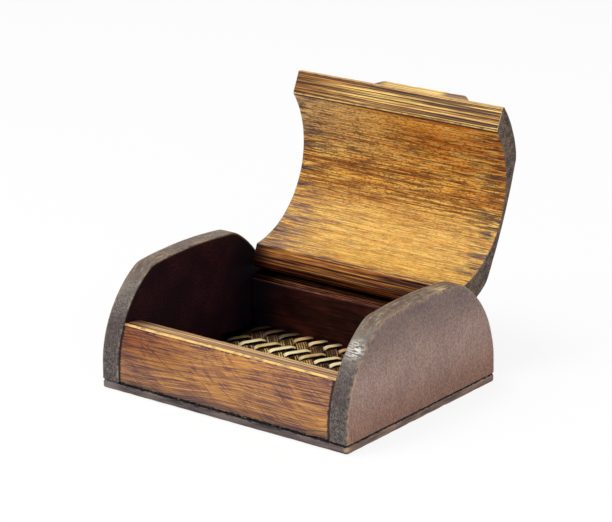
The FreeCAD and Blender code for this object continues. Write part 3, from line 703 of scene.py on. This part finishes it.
def joint_runs():
    """Stretches of bead round the foot of the panels and walls, with gaps between them."""
    chance = random.Random(4)
    w, d = BASE_HALF_WIDTH - GLUE_INSET, BASE_HALF_DEPTH - GLUE_INSET
    i, r = INNER_HALF_WIDTH, wall_outer - GLUE_LIFT
    joint = [(-i, -d), (-i, -r), (i, -r), (i, -d), (w, -d), (w, d)]
    joint += [(i, d), (i, r), (-i, r), (-i, d), (-w, d), (-w, -d)]
    corners, edges = [], []
    for start, end in zip(joint, joint[1:]):
        lift = GLUE_LIFT if abs(start[1]) == abs(end[1]) == r else 0.0
        start, end = (Vector((*spot, BASE_THICKNESS + lift)) for spot in (start, end))
        length = (end - start).length
        done = 0.0
        while done < length - 0.5:
            run = min(chance.uniform(*GLUE_RUNS), length - done)
            count = max(2, int(run / 1.5))
            for n in range(count + 1):
                spot = start.lerp(end, (done + run * n / count) / length)
                spot.z += chance.uniform(*GLUE_WANDER)
                if n:
                    edges.append((len(corners) - 1, len(corners)))
                corners.append(spot * MM)
            done += run + chance.choice(GLUE_GAPS)
    return corners, edges, {}


glue_mesh = grown(
    "glue_line", joint_runs(), bead(), GLUE_RADIUS, GLUE_LUMP, GLUE_STEP, GLUE_SIDES, glue_finish,
)
glue_line = placed("glue_line", glue_mesh)
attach(glue_line, "box")

# Floor mat: flat strips of pale split reed woven slantwise over two and under one bundle of fine dark reeds.
# It was cut from a larger sheet of the weave to fill the floor, so the strands run out square at its edges.
MAT_LOW, MAT_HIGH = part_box("floor_mat")
MAT_MIDDLE = (MAT_LOW.z + MAT_HIGH.z) / 2 / MM
MAT_SIDES = ((1, 0, 0), MAT_HIGH), ((-1, 0, 0), MAT_LOW), ((0, 1, 0), MAT_HIGH), ((0, -1, 0), MAT_LOW)
MAT_CREASE = math.radians(60)
STRIP_ANGLE, BUNDLE_ANGLE = 62.0, 134.0
BUNDLE_PITCH, STRIP_PITCH = 5.3, 6.25
STRIP_WIDTH, STRIP_THICKNESS, STRIP_STEP, STRIP_SIDES = 2.4, 0.7, 0.8, 10
REED_WIDTH, REED_THICKNESS, REED_STEP, REED_SIDES = 0.46, 0.7, 1.0, 6
REEDS_IN_BUNDLE, REED_SINK = 11, (-0.12, 0.05)
WEAVE_RISE = 0.62
WEAVE_START = Vector((-16.9, 8.9))
STRANDS_EACH_WAY = 26
tones = random.Random(11)


def weave():
    """Strands that rise over two crossings and dip under one, by the numbers stored on their lines."""
    tree = Growth("over_two_under_one", "Width", "Thickness", "Rise")
    crossing = tree.out("GeometryNodeInputNamedAttribute", {"Name": "crossing"}, data_type="FLOAT")
    turnover = tree.sum("ABSOLUTE", tree.sum("SUBTRACT", tree.sum("FRACT", crossing), 0.5))
    lift = tree.sum("MULTIPLY", tree.between(turnover, 0.2, 0.45, 1.0, -1.0), tree.given["Rise"])
    offset = tree.out("ShaderNodeCombineXYZ", {"Z": lift})
    raised = tree.out("GeometryNodeSetPosition", {"Geometry": tree.path, "Offset": offset})
    level = tree.out("GeometryNodeSetCurveNormal", {"Curve": raised}, mode="Z_UP")
    flat = {"X": tree.given["Width"], "Y": tree.given["Thickness"], "Z": 1.0}
    flat = tree.out("ShaderNodeCombineXYZ", flat)
    strip = tree.out("GeometryNodeTransform", {"Geometry": tree.ring(0.5), "Scale": flat})
    return tree.strand(level, strip)


def reed_finish(name, turn, long, wide, under, *shades):
    """Split reed with fibres along the strand and a shade of its own for each strand.
    Painted shade darkens it where it dips under its neighbours, towards the back and the left, and most in
    the back corner on the left."""
    paint = Finish(name)
    lay = paint.lay
    fibres = paint.grain(long, wide, wide, shift=2.0, turn=(0, 0, -turn))
    blotches = paint.grain(3.5, 1.6, 1.6, shift=6.0, turn=(0, 0, -turn))
    mixed = paint.blend((fibres, 0.35), (blotches, 0.2), (paint.painted("reed_tone"), 0.45))
    turnover = paint.sum("SUBTRACT", paint.sum("FRACT", paint.painted("crossing")), 0.5)
    across, inward = paint.axis("X"), paint.axis("Y")
    paint.ground(mixed, *shades)
    # Painted shade: darker where the strand dips under its neighbours
    lay((20, 11, 8), (paint.sum("ABSOLUTE", turnover), *under), 0.8)
    # Painted shade: browner and darker towards the back wall and the left panel, darkest in the back corner
    # on the left and black beside the left panel, where these shade the mat; its gloss fades there too
    paint.glaze((190, 142, 100), (inward, 12, 22, 0.0, 0.4))
    lay((30, 15, 9), (across, -19.5, -26), (inward, 16, 25, 0.0, 0.88))
    lay((30, 15, 9), (across, -39.5, -33, 0.9, 0.0))
    lay((30, 15, 9), (inward, 27.5, 31, 0.0, 0.8))
    lay((3, 2, 5), (across, -40.5, -42.5))
    gloss = paint.times((across, -42, -34), (inward, 30, 22), 0.3)
    paint.feed(paint.shader.inputs["Specular IOR Level"], gloss)
    return paint.done((mixed, 0.35, 0.65, 0.58, 0.42), fibres, 0.12, 0.7)


strip_finish = reed_finish(
    "pale_split_reed", STRIP_ANGLE, 9, 0.35, (0.27, 0.4),
    (0.38, (138, 100, 58)), (0.47, (208, 174, 112)), (0.6, (250, 232, 180)),
)
bundle_finish = reed_finish(
    "dark_fine_reed", BUNDLE_ANGLE, 4, 0.3, (0.36, 0.26),
    (0.42, (10, 5, 5)), (0.5, (48, 27, 16)), (0.58, (160, 114, 58)), (0.67, (244, 208, 124)),
)
strip_way, bundle_way = (
    Vector((math.cos(math.radians(a)), math.sin(math.radians(a)))) for a in (STRIP_ANGLE, BUNDLE_ANGLE)
)


def over_floor(middle, way):
    """How far a line runs over the floor on each side of its middle, or nothing where it misses it."""
    first, last = -math.inf, math.inf
    for at, run, edge in ((middle.x, way.x, MAT_HIGH.x / MM), (middle.y, way.y, MAT_HIGH.y / MM)):
        ends = sorted((side * (edge + STRIP_WIDTH) - at) / run for side in (-1, 1))
        first, last = max(first, ends[0]), min(last, ends[1])
    return (first, last) if first < last else ()


def strands(way, across, pitch, gap, count):
    """Lines of one family of strands, with the number of the crossing at each end and a shade."""
    corners, crossing, tone = [], [], []
    for n in range(-STRANDS_EACH_WAY, STRANDS_EACH_WAY + 1):
        for m in range(count):
            middle = WEAVE_START + across * (n * gap + (m - (count - 1) / 2) * REED_WIDTH)
            shade, sink = tones.random(), tones.uniform(*REED_SINK) * (count > 1)
            if count > 1:
                shade = 0.45 * shade + (0.5 if (m + n) % 2 else 0.05)
            else:
                shade = 0.48 + 0.42 * shade
            for along in over_floor(middle, way):
                spot = middle + way * along
                corners.append((spot.x * MM, spot.y * MM, (MAT_MIDDLE + sink) * MM))
                crossing.append((n + along / pitch) / 3)
                tone.append(shade)
    edges = [(i, i + 1) for i in range(0, len(corners), 2)]
    return corners, edges, {"crossing": crossing, "reed_tone": tone}


weave_tree = weave()
mat_work = bmesh.new()
for kind, (run, *sizes) in enumerate((
    (
        (strip_way, bundle_way, BUNDLE_PITCH, STRIP_PITCH, 1),
        STRIP_WIDTH, STRIP_THICKNESS, WEAVE_RISE, STRIP_STEP, STRIP_SIDES, strip_finish,
    ),
    (
        (bundle_way, strip_way, STRIP_PITCH, BUNDLE_PITCH, REEDS_IN_BUNDLE),
        REED_WIDTH, REED_THICKNESS, -WEAVE_RISE, REED_STEP, REED_SIDES, bundle_finish,
    ),
)):
    family = grown("mat_strands", strands(*run), weave_tree, *sizes)
    before = len(mat_work.faces)
    mat_work.from_mesh(family)
    mat_work.faces.ensure_lookup_table()
    for made in mat_work.faces[before:]:
        made.material_index = kind
    bpy.data.meshes.remove(family)
for normal, corner in MAT_SIDES:
    cut = bmesh.ops.bisect_plane(
        mat_work, geom=mat_work.verts[:] + mat_work.edges[:] + mat_work.faces[:], dist=1e-7,
        plane_co=corner, plane_no=normal, clear_outer=True,
    )
    rims = [e for e in cut["geom_cut"] if isinstance(e, bmesh.types.BMEdge) and e.is_boundary]
    bmesh.ops.holes_fill(mat_work, edges=rims, sides=0)
bmesh.ops.recalc_face_normals(mat_work, faces=mat_work.faces)
mat_mesh = bpy.data.meshes.new("woven_mat")
mat_work.to_mesh(mat_mesh)
mat_work.free()
mat_mesh.shade_smooth()
mat_mesh.set_sharp_from_angle(angle=MAT_CREASE)
mat_mesh.materials.append(strip_finish)
mat_mesh.materials.append(bundle_finish)
woven_mat = placed("woven_mat", mat_mesh)
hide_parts("floor_mat")
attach(woven_mat, "box")

# Hinge pins: two short bamboo pins, glued into blind bores in the panels.
# The lid turns on their free ends, and only a sliver of each shows in the gap beside the lid.
of_peg_wood("left_hinge_pin", "right_hinge_pin")

# Lid: a slab of thick bamboo culm, hollow and glossy below, rounded above to the panels' curve.
# Its two long edges are sawn flat, its ends are end grain, and its heel is rounded to turn on the pins.
LID_INSET, LID_EDGE, LID_CROWN = 0.7, 24.9, 1.9
LID_FRONT_EDGE, LID_REAR_EDGE = 9.6, 11.0
LID_EASING = 1.0
HEEL_RADIUS, HEEL_MARGIN, HEEL_CUT = 3.0, 0.3, 0.02
LID_CHIP = 0.2
LID_LEFT, LID_RIGHT = (spot.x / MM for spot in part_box("lid"))
LID_STEPS = 60
PIVOT = Vector(frame["joints"][0]["pos_m"][1:]) / MM
OPEN_ANGLE = math.radians(-113.5)
HOLLOW, FRONT_EDGE, REAR_EDGE, CULM, END = range(5)


def turned(point, turn):
    c, s = math.cos(turn), math.sin(turn)
    return Vector((c * point.x - s * point.y, s * point.x + c * point.y))


def opened(along, point):
    """Puts a point of the shut lid's section where it stands with the lid open."""
    return Vector((along, *(PIVOT + turned(point - PIVOT, OPEN_ANGLE))))


lid_radius = SHOULDER_RADIUS - LID_INSET
lid_outer = SHOULDER_CENTRE.x + math.sqrt(lid_radius**2 - (LID_EDGE - SHOULDER_HEIGHT) ** 2)
front_inner, rear_inner = -lid_outer + LID_FRONT_EDGE, lid_outer - LID_REAR_EDGE
front_arris, rear_arris = Vector((front_inner, LID_EDGE)), Vector((rear_inner, LID_EDGE))
hollow_top = PANEL_TOP - LID_INSET - LID_CROWN
hollow_rise, half_chord = hollow_top - LID_EDGE, (rear_inner - front_inner) / 2
hollow_radius = (half_chord**2 + hollow_rise**2) / (2 * hollow_rise)
hollow_centre = Vector(((front_inner + rear_inner) / 2, hollow_top - hollow_radius))
hollow_line = curve(
    hollow_centre, hollow_radius, angle(hollow_centre, front_arris), angle(hollow_centre, rear_arris),
)
heel_height = LID_EDGE + HEEL_RADIUS - SHOULDER_HEIGHT
heel_out = math.sqrt((lid_radius - HEEL_RADIUS) ** 2 - heel_height**2)
heel_centre = SHOULDER_CENTRE + Vector((heel_out, heel_height))
heel_line = curve(heel_centre, HEEL_RADIUS, -math.pi / 2, angle(SHOULDER_CENTRE, heel_centre), 0.4)
culm_line = [p for p in arch(LID_INSET, LID_EDGE) if p.x < 0 or p.y > heel_line[-1].y + HEEL_MARGIN]
lid_line = section(
    ([Vector((-lid_outer, LID_EDGE)), front_arris], FRONT_EDGE, LID_EASING), (hollow_line, HOLLOW, ARRIS),
    ([rear_arris, heel_line[0]], REAR_EDGE, ARRIS), (heel_line + culm_line, CULM, HEEL_CUT),
)
for k, (point, rub, finish) in enumerate(lid_line):
    on_heel = (point - heel_centre).length < HEEL_RADIUS + HEEL_MARGIN
    at_heel_start = (point - heel_line[0]).length < 0.2
    lid_line[k] = (point, 0.0 if at_heel_start else rub, REAR_EDGE if on_heel else finish)


def hollow_finish():
    """Inside of the culm under varnish: honey gold with brown streaks along it, sooty near the ends."""
    paint = Finish("culm_hollow_varnish", 0.15)
    grain, lay = paint.grain, paint.lay
    bands = grain(80, 2.0, 2.0, shift=1.0, detail=4, rough=0.6)
    fibres = grain(13, 0.5, 0.5, shift=2.0, detail=2)
    threads = grain(8, 0.4, 0.4, shift=6.2, detail=1)
    pale = grain(12, 0.5, 0.5, shift=4.4, detail=2)
    pores = grain(1.3, 0.5, 0.5, shift=3.0, detail=1)
    streaks = grain(34, 0.6, 0.6, shift=12.0, detail=1)
    smudges = grain(16, 2.2, 2.2, shift=9.0)
    mottle = grain(2.6, 1.8, 1.8, shift=7.0, detail=2)
    height, along = paint.axis("Z"), paint.axis("X")
    out = paint.sum("ABSOLUTE", along)
    mixed = paint.blend((bands, 0.45), (fibres, 0.35), (grain(22, 10, 10, shift=5.0), 0.2))
    middle = paint.times((height, 44, 60, 0.5, 1.0), (height, 74, 90, 1.0, 0.5))
    flat = {0: paint.place, 1: [0.0, 1 / MM, 1 / MM]}
    flat = paint.out("ShaderNodeVectorMath", flat, operation="MULTIPLY")

    def beside(arris):
        """Distance in millimetres from a long edge of the hollow."""
        return paint.measure("DISTANCE", flat, opened(0.0, arris))

    paint.ground(
        mixed, (0.4, (140, 70, 14)), (0.465, (208, 128, 40)),
        (0.53, (246, 178, 72)), (0.61, (255, 218, 120)),
    )
    # Paler gold towards the bottom of the hollow, in mottled patches: partly painted light where the hollow
    # faces up to the lamps, partly patchy colour
    lay((216, 174, 90), (height, 42, 66, 0.85, 0.05), (mottle, 0.38, 0.6, 0.45, 1.0))
    # Darker and more orange towards the top right: partly painted shade, partly a warmer patch of the culm
    paint.glaze((240, 146, 62), (height, 58, 88), (along, -30, 40, 0.25, 0.75), 0.55)
    lay((238, 196, 128), (height, 58, 80), (along, -46, 14, 0.65, 0.0))
    lay((98, 44, 12), (fibres, 0.52, 0.6), middle, 0.75)
    lay((92, 40, 14), (threads, 0.54, 0.62), middle, 0.75)
    lay((246, 204, 114), (pale, 0.53, 0.62, 0.0, 0.55))
    lay((96, 38, 12), (height, 47, 54), (height, 74, 64), (streaks, 0.54, 0.62), 0.7)
    lay((104, 52, 16), (pores, 0.54, 0.62), (height, 44, 60, 0.3, 0.65))
    lay((92, 46, 24), (out, 22, 44), (bands, 0.46, 0.56), (threads, 0.42, 0.52), 0.75)
    lay((46, 38, 56), (out, 30, 44), (smudges, 0.5, 0.62), (fibres, 0.4, 0.55, 0.6, 0.95))
    lay((50, 38, 44), (beside(front_arris), 0.7, 1.5, 0.95, 0.0), (bands, 0.36, 0.5, 0.4, 1.0))
    lay((104, 78, 86), (height, 56, 42), (along, 6, -40), (pale, 0.5, 0.44), 0.75)
    lay((84, 56, 60), (beside(rear_arris), 0.4, 2.6, 0.8, 0.0), (threads, 0.44, 0.52))
    lay((58, 38, 36), paint.painted("wear"), (fibres, 0.35, 0.5), 0.8)
    return paint.done((mixed, 0.35, 0.65, 0.5, 0.34), pores, 0.08, 0.5)


def end_grain():
    """Sawn end of the culm: close dark bundles in a grey-brown ground."""
    paint = Finish("culm_end_grain", 0.25)
    dots = paint.out("ShaderNodeTexVoronoi", {"Vector": paint.place, "Scale": 1 / (0.62 * MM)})
    blotches = paint.grain(2.5, 2.5, 2.5, detail=4)
    dust = paint.grain(0.4, 0.4, 0.4, shift=4.0, detail=2)
    spots = paint.between(dots, 0.42, 0.22)
    paint.ground(blotches, (0.38, (46, 35, 30)), (0.62, (102, 81, 69)))
    paint.lay((30, 23, 23), spots, 0.9)
    paint.lay((172, 150, 128), (dust, 0.55, 0.66, 0.0, 0.7))
    paint.lay((96, 104, 112), paint.painted("wear"), 0.45)
    return paint.done((blotches, 0.35, 0.65, 0.68, 0.55), paint.sum("SUBTRACT", dust, spots), 0.12, 0.7)


lid_finishes = [
    hollow_finish(),
    # The front edge has painted shade towards its left end
    sawn_fibres(
        "culm_front_edge", (50, 28, 34), (134, 86, 46), (206, 154, 78), (254, 220, 130), (240, 198, 116),
        0.52, (("X", -10, -46, (176, 146, 128), 0.9),),
    ),
    # Painted shade: the rear edge darkens towards its lower side and towards its left end
    sawn_fibres(
        "culm_rear_edge", (24, 12, 20), (140, 82, 40), (212, 142, 68), (252, 200, 112), (84, 58, 56),
        0.95, (("Z", 36, 27, (140, 92, 80), 0.9), ("X", -34, -45, (70, 44, 48), 0.95)), gloss=0.1,
    ),
    bamboo_skin("culm_outer_skin", (92, 56, 44), (148, 98, 64), (190, 136, 86)),
    end_grain(),
]


def lid_place(along, point, normal, inset, wear):
    chip = wear * (RUBBED_OFF + LID_CHIP * dent(along, point.x, point.y, CHIP_SIZE, 3.0))
    return opened(along, point - normal * (inset + chip))


lid_stations = [(LID_LEFT, 0.5, 0.0, END), (LID_LEFT, 0.22, 0.8, END), (LID_LEFT + 0.08, 0.06, 1.0, None)]
for i in range(LID_STEPS + 1):
    lid_stations.append((LID_LEFT + 0.3 + (LID_RIGHT - LID_LEFT - 0.6) * i / LID_STEPS, 0.0, 0.0, None))
lid_stations += [(LID_RIGHT - 0.08, 0.06, 1.0, END), (LID_RIGHT, 0.22, 0.8, END), (LID_RIGHT, 0.5, 0.0, END)]
lid = slab("bamboo_lid", lid_line, lid_stations, lid_place, lid_finishes)
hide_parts("lid")
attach(lid, "lid")

# Lid pull: a bar split from the culm, its ends cut on a slope and its edges eased.
# It is glued to the lid's front slope, with its foot scraped hollow to fit the curve.
PULL_LENGTH, PULL_OFFSET = 52.0, 4.2
PULL_LEFT_SLOPE, PULL_RIGHT_SLOPE = 6.0, 9.0
PULL_FOOT, PULL_HEAD, PULL_HEIGHT = 8.0, 4.6, 9.2
PULL_UP_SLOPE = 10.3
PULL_EASING, PULL_END = 0.9, 0.93
PULL_CHIP, PULL_CHIP_SIZE = 0.3, 4.0
PULL_STEPS = 40
GLUE_GAP = 0.05
PULL_SIDE, PULL_FACE = range(2)
pull_seat = lid_radius + GLUE_GAP
pull_angle = math.asin((LID_EDGE - SHOULDER_HEIGHT) / lid_radius) + PULL_UP_SLOPE / lid_radius
pull_root = Vector((-SHOULDER_CENTRE.x, SHOULDER_HEIGHT))
pull_root += pull_seat * Vector((-math.cos(pull_angle), math.sin(pull_angle)))
tilt = math.asin(PULL_FOOT / 2 / pull_seat)
foot_line = curve((0.0, -pull_seat), pull_seat, math.pi / 2 + tilt, math.pi / 2 - tilt)
head_front, head_back = Vector((-PULL_HEAD / 2, PULL_HEIGHT)), Vector((PULL_HEAD / 2, PULL_HEIGHT))
pull_line = section(
    (foot_line, PULL_SIDE, HIDDEN_CUT), ([foot_line[-1], head_back], PULL_SIDE, HIDDEN_CUT),
    ([head_back, head_front], PULL_FACE, PULL_EASING), ([head_front, foot_line[0]], PULL_FACE, PULL_EASING),
)


def pull_place(along, point, normal, inset, wear):
    up = max(0.0, point.y) / PULL_HEIGHT
    half = PULL_LENGTH / 2 - (PULL_LEFT_SLOPE if along < 0 else PULL_RIGHT_SLOPE) * up
    chip = PULL_CHIP * wear * dent(along * half, point.x, point.y, PULL_CHIP_SIZE, 7.0) * (up > 0.1)
    spot = point - normal * (inset + chip)
    spot.y -= PULL_EASING * up**6 * max(0.0, abs(along) - PULL_END) / (1 - PULL_END)
    return opened(PULL_OFFSET + along * half, pull_root + turned(spot, math.pi / 2 - pull_angle))


def pull_face():
    """Face of the pull: rubbed bare and yellow in the middle, still stained towards its ends."""
    paint = Finish("pull_rubbed_face", 0.3)
    fibres = paint.grain(40, 0.6, 0.6, shift=3.0)
    dark = paint.shades(fibres, (0.38, (70, 48, 38)), (0.5, (112, 84, 60)), (0.62, (160, 124, 84)))
    out = paint.sum("ABSOLUTE", paint.sum("ADD", paint.axis("X"), 1.0))
    paint.ground(fibres, (0.38, (170, 126, 62)), (0.5, (222, 182, 100)), (0.62, (248, 222, 150)))
    paint.lay(dark, (paint.blend((out, 1.0), (fibres, 4.0)), 13, 18))
    return paint.done((fibres, 0.3, 0.7, 0.6, 0.45), fibres, 0.15)


pull_stations = [(-1.0, 0.48, 0.0, PULL_SIDE), (-1.0, 0.25, 0.6, PULL_SIDE), (-0.992, 0.05, 0.8, None)]
pull_stations += [(-0.98 + 1.96 * i / PULL_STEPS, 0.0, 0.0, None) for i in range(PULL_STEPS + 1)]
pull_stations += [(0.992, 0.05, 0.8, PULL_SIDE), (1.0, 0.25, 0.6, PULL_SIDE), (1.0, 0.48, 0.0, PULL_SIDE)]
pull_finishes = [bamboo_skin("pull_stained_side", (78, 52, 40), (126, 92, 64), (170, 130, 90)), pull_face()]
pull = slab("bamboo_lid_pull", pull_line, pull_stations, pull_place, pull_finishes)
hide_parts("lid_pull")
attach(pull, "lid")

# Studio: a pale sweep of floor under soft light from above and in front, and the photograph's camera.
# The floor and the world show white to the camera and to reflections, and light the box at a plain level.
WHITE, FLOOR_GREY = (1.0, 1.0, 1.0, 1.0), (0.9, 0.9, 0.9, 1.0)
FLOOR_REACH, FLOOR_DROP, FLOOR_WHITE = 3.0, 0.0002, 0.88
ROOM_LIGHT = 0.28
AIM = Vector((0.0, 0.01, 0.04))
studio = bpy.context.scene
studio.view_settings.view_transform = "Standard"


def shows_white(tree, lit, output, lamp, share):
    """Mixes white into what the camera and reflections see, and leaves the rest as it is lit."""
    nodes = Nodes(tree)
    rays = nodes.add("ShaderNodeLightPath").outputs
    seen = rays["Is Camera Ray"]
    for ray in ("Is Glossy Ray", "Is Transmission Ray"):
        seen = nodes.sum("MAXIMUM", seen, rays[ray])
    white = nodes.out(lamp, {"Color": WHITE, "Strength": 1.0})
    mix = {0: nodes.sum("MULTIPLY", seen, share), 1: lit.outputs[0], 2: white}
    nodes.feed(output.inputs["Surface"], nodes.out("ShaderNodeMixShader", mix))


world = bpy.data.worlds.new("soft_room")
studio.world = world
world.use_nodes = True
room = world.node_tree.nodes["Background"]
room.inputs["Color"].default_value = WHITE
room.inputs["Strength"].default_value = ROOM_LIGHT
room_output = world.node_tree.nodes["World Output"]
shows_white(world.node_tree, room, room_output, "ShaderNodeBackground", 1.0)

floor_mesh = bpy.data.meshes.new("studio_floor")
floor_plan = ((-1, -1), (1, -1), (1, 1), (-1, 1))
floor_corners = [(x * FLOOR_REACH, y * FLOOR_REACH, -FLOOR_DROP) for x, y in floor_plan]
floor_mesh.from_pydata(floor_corners, [], [(0, 1, 2, 3)])
floor_finish = bpy.data.materials.new("pale_floor")
floor_finish.use_nodes = True
floor_tree = floor_finish.node_tree
floor_shader, floor_output = floor_tree.nodes["Principled BSDF"], floor_tree.nodes["Material Output"]
floor_shader.inputs["Base Color"].default_value = FLOOR_GREY
floor_shader.inputs["Roughness"].default_value = 0.9
shows_white(floor_tree, floor_shader, floor_output, "ShaderNodeEmission", FLOOR_WHITE)
floor_mesh.materials.append(floor_finish)
floor = placed("studio_floor", floor_mesh)

for name, spot, size, power in (
    ("key_light", (-0.55, -0.75, 1.05), 0.6, 4.2),
    ("fill_light", (1.1, -0.7, 0.55), 0.9, 7.5),
    ("top_light", (-0.25, -0.2, 1.25), 0.5, 9.5),
):
    lamp = bpy.data.lights.new(name, "AREA")
    lamp.size = size
    lamp.energy = power
    stand = placed(name, lamp)
    stand.location = spot
    stand.rotation_mode = "QUATERNION"
    stand.rotation_quaternion = (AIM - Vector(spot)).to_track_quat("-Z", "Y")

# The camera stands to the right of the front and looks down a little, a metre away
YAW, PITCH, ROLL = (math.radians(a) for a in (38.02, 18.31, -0.67))
CAMERA_BACK, CAMERA_RIGHT, CAMERA_UP = 1018.86, 2.633, 44.103
FOCAL_LENGTH, SENSOR_WIDTH = 166.87, 36.0
back = Vector((math.sin(YAW) * math.cos(PITCH), -math.cos(YAW) * math.cos(PITCH), math.sin(PITCH)))
level_right = Vector((math.cos(YAW), math.sin(YAW), 0.0))
level_up = back.cross(level_right)
right = level_right * math.cos(ROLL) + level_up * math.sin(ROLL)
up = level_up * math.cos(ROLL) - level_right * math.sin(ROLL)
camera = bpy.data.cameras.new("photo_camera")
camera.sensor_fit = "HORIZONTAL"
camera.sensor_width = SENSOR_WIDTH
camera.lens = FOCAL_LENGTH
tripod = placed("photo_camera", camera)
pose = Matrix((right, up, back)).transposed().to_4x4()
pose.translation = (back * CAMERA_BACK + right * CAMERA_RIGHT + up * CAMERA_UP) * MM
tripod.matrix_world = pose
studio.camera = tripod
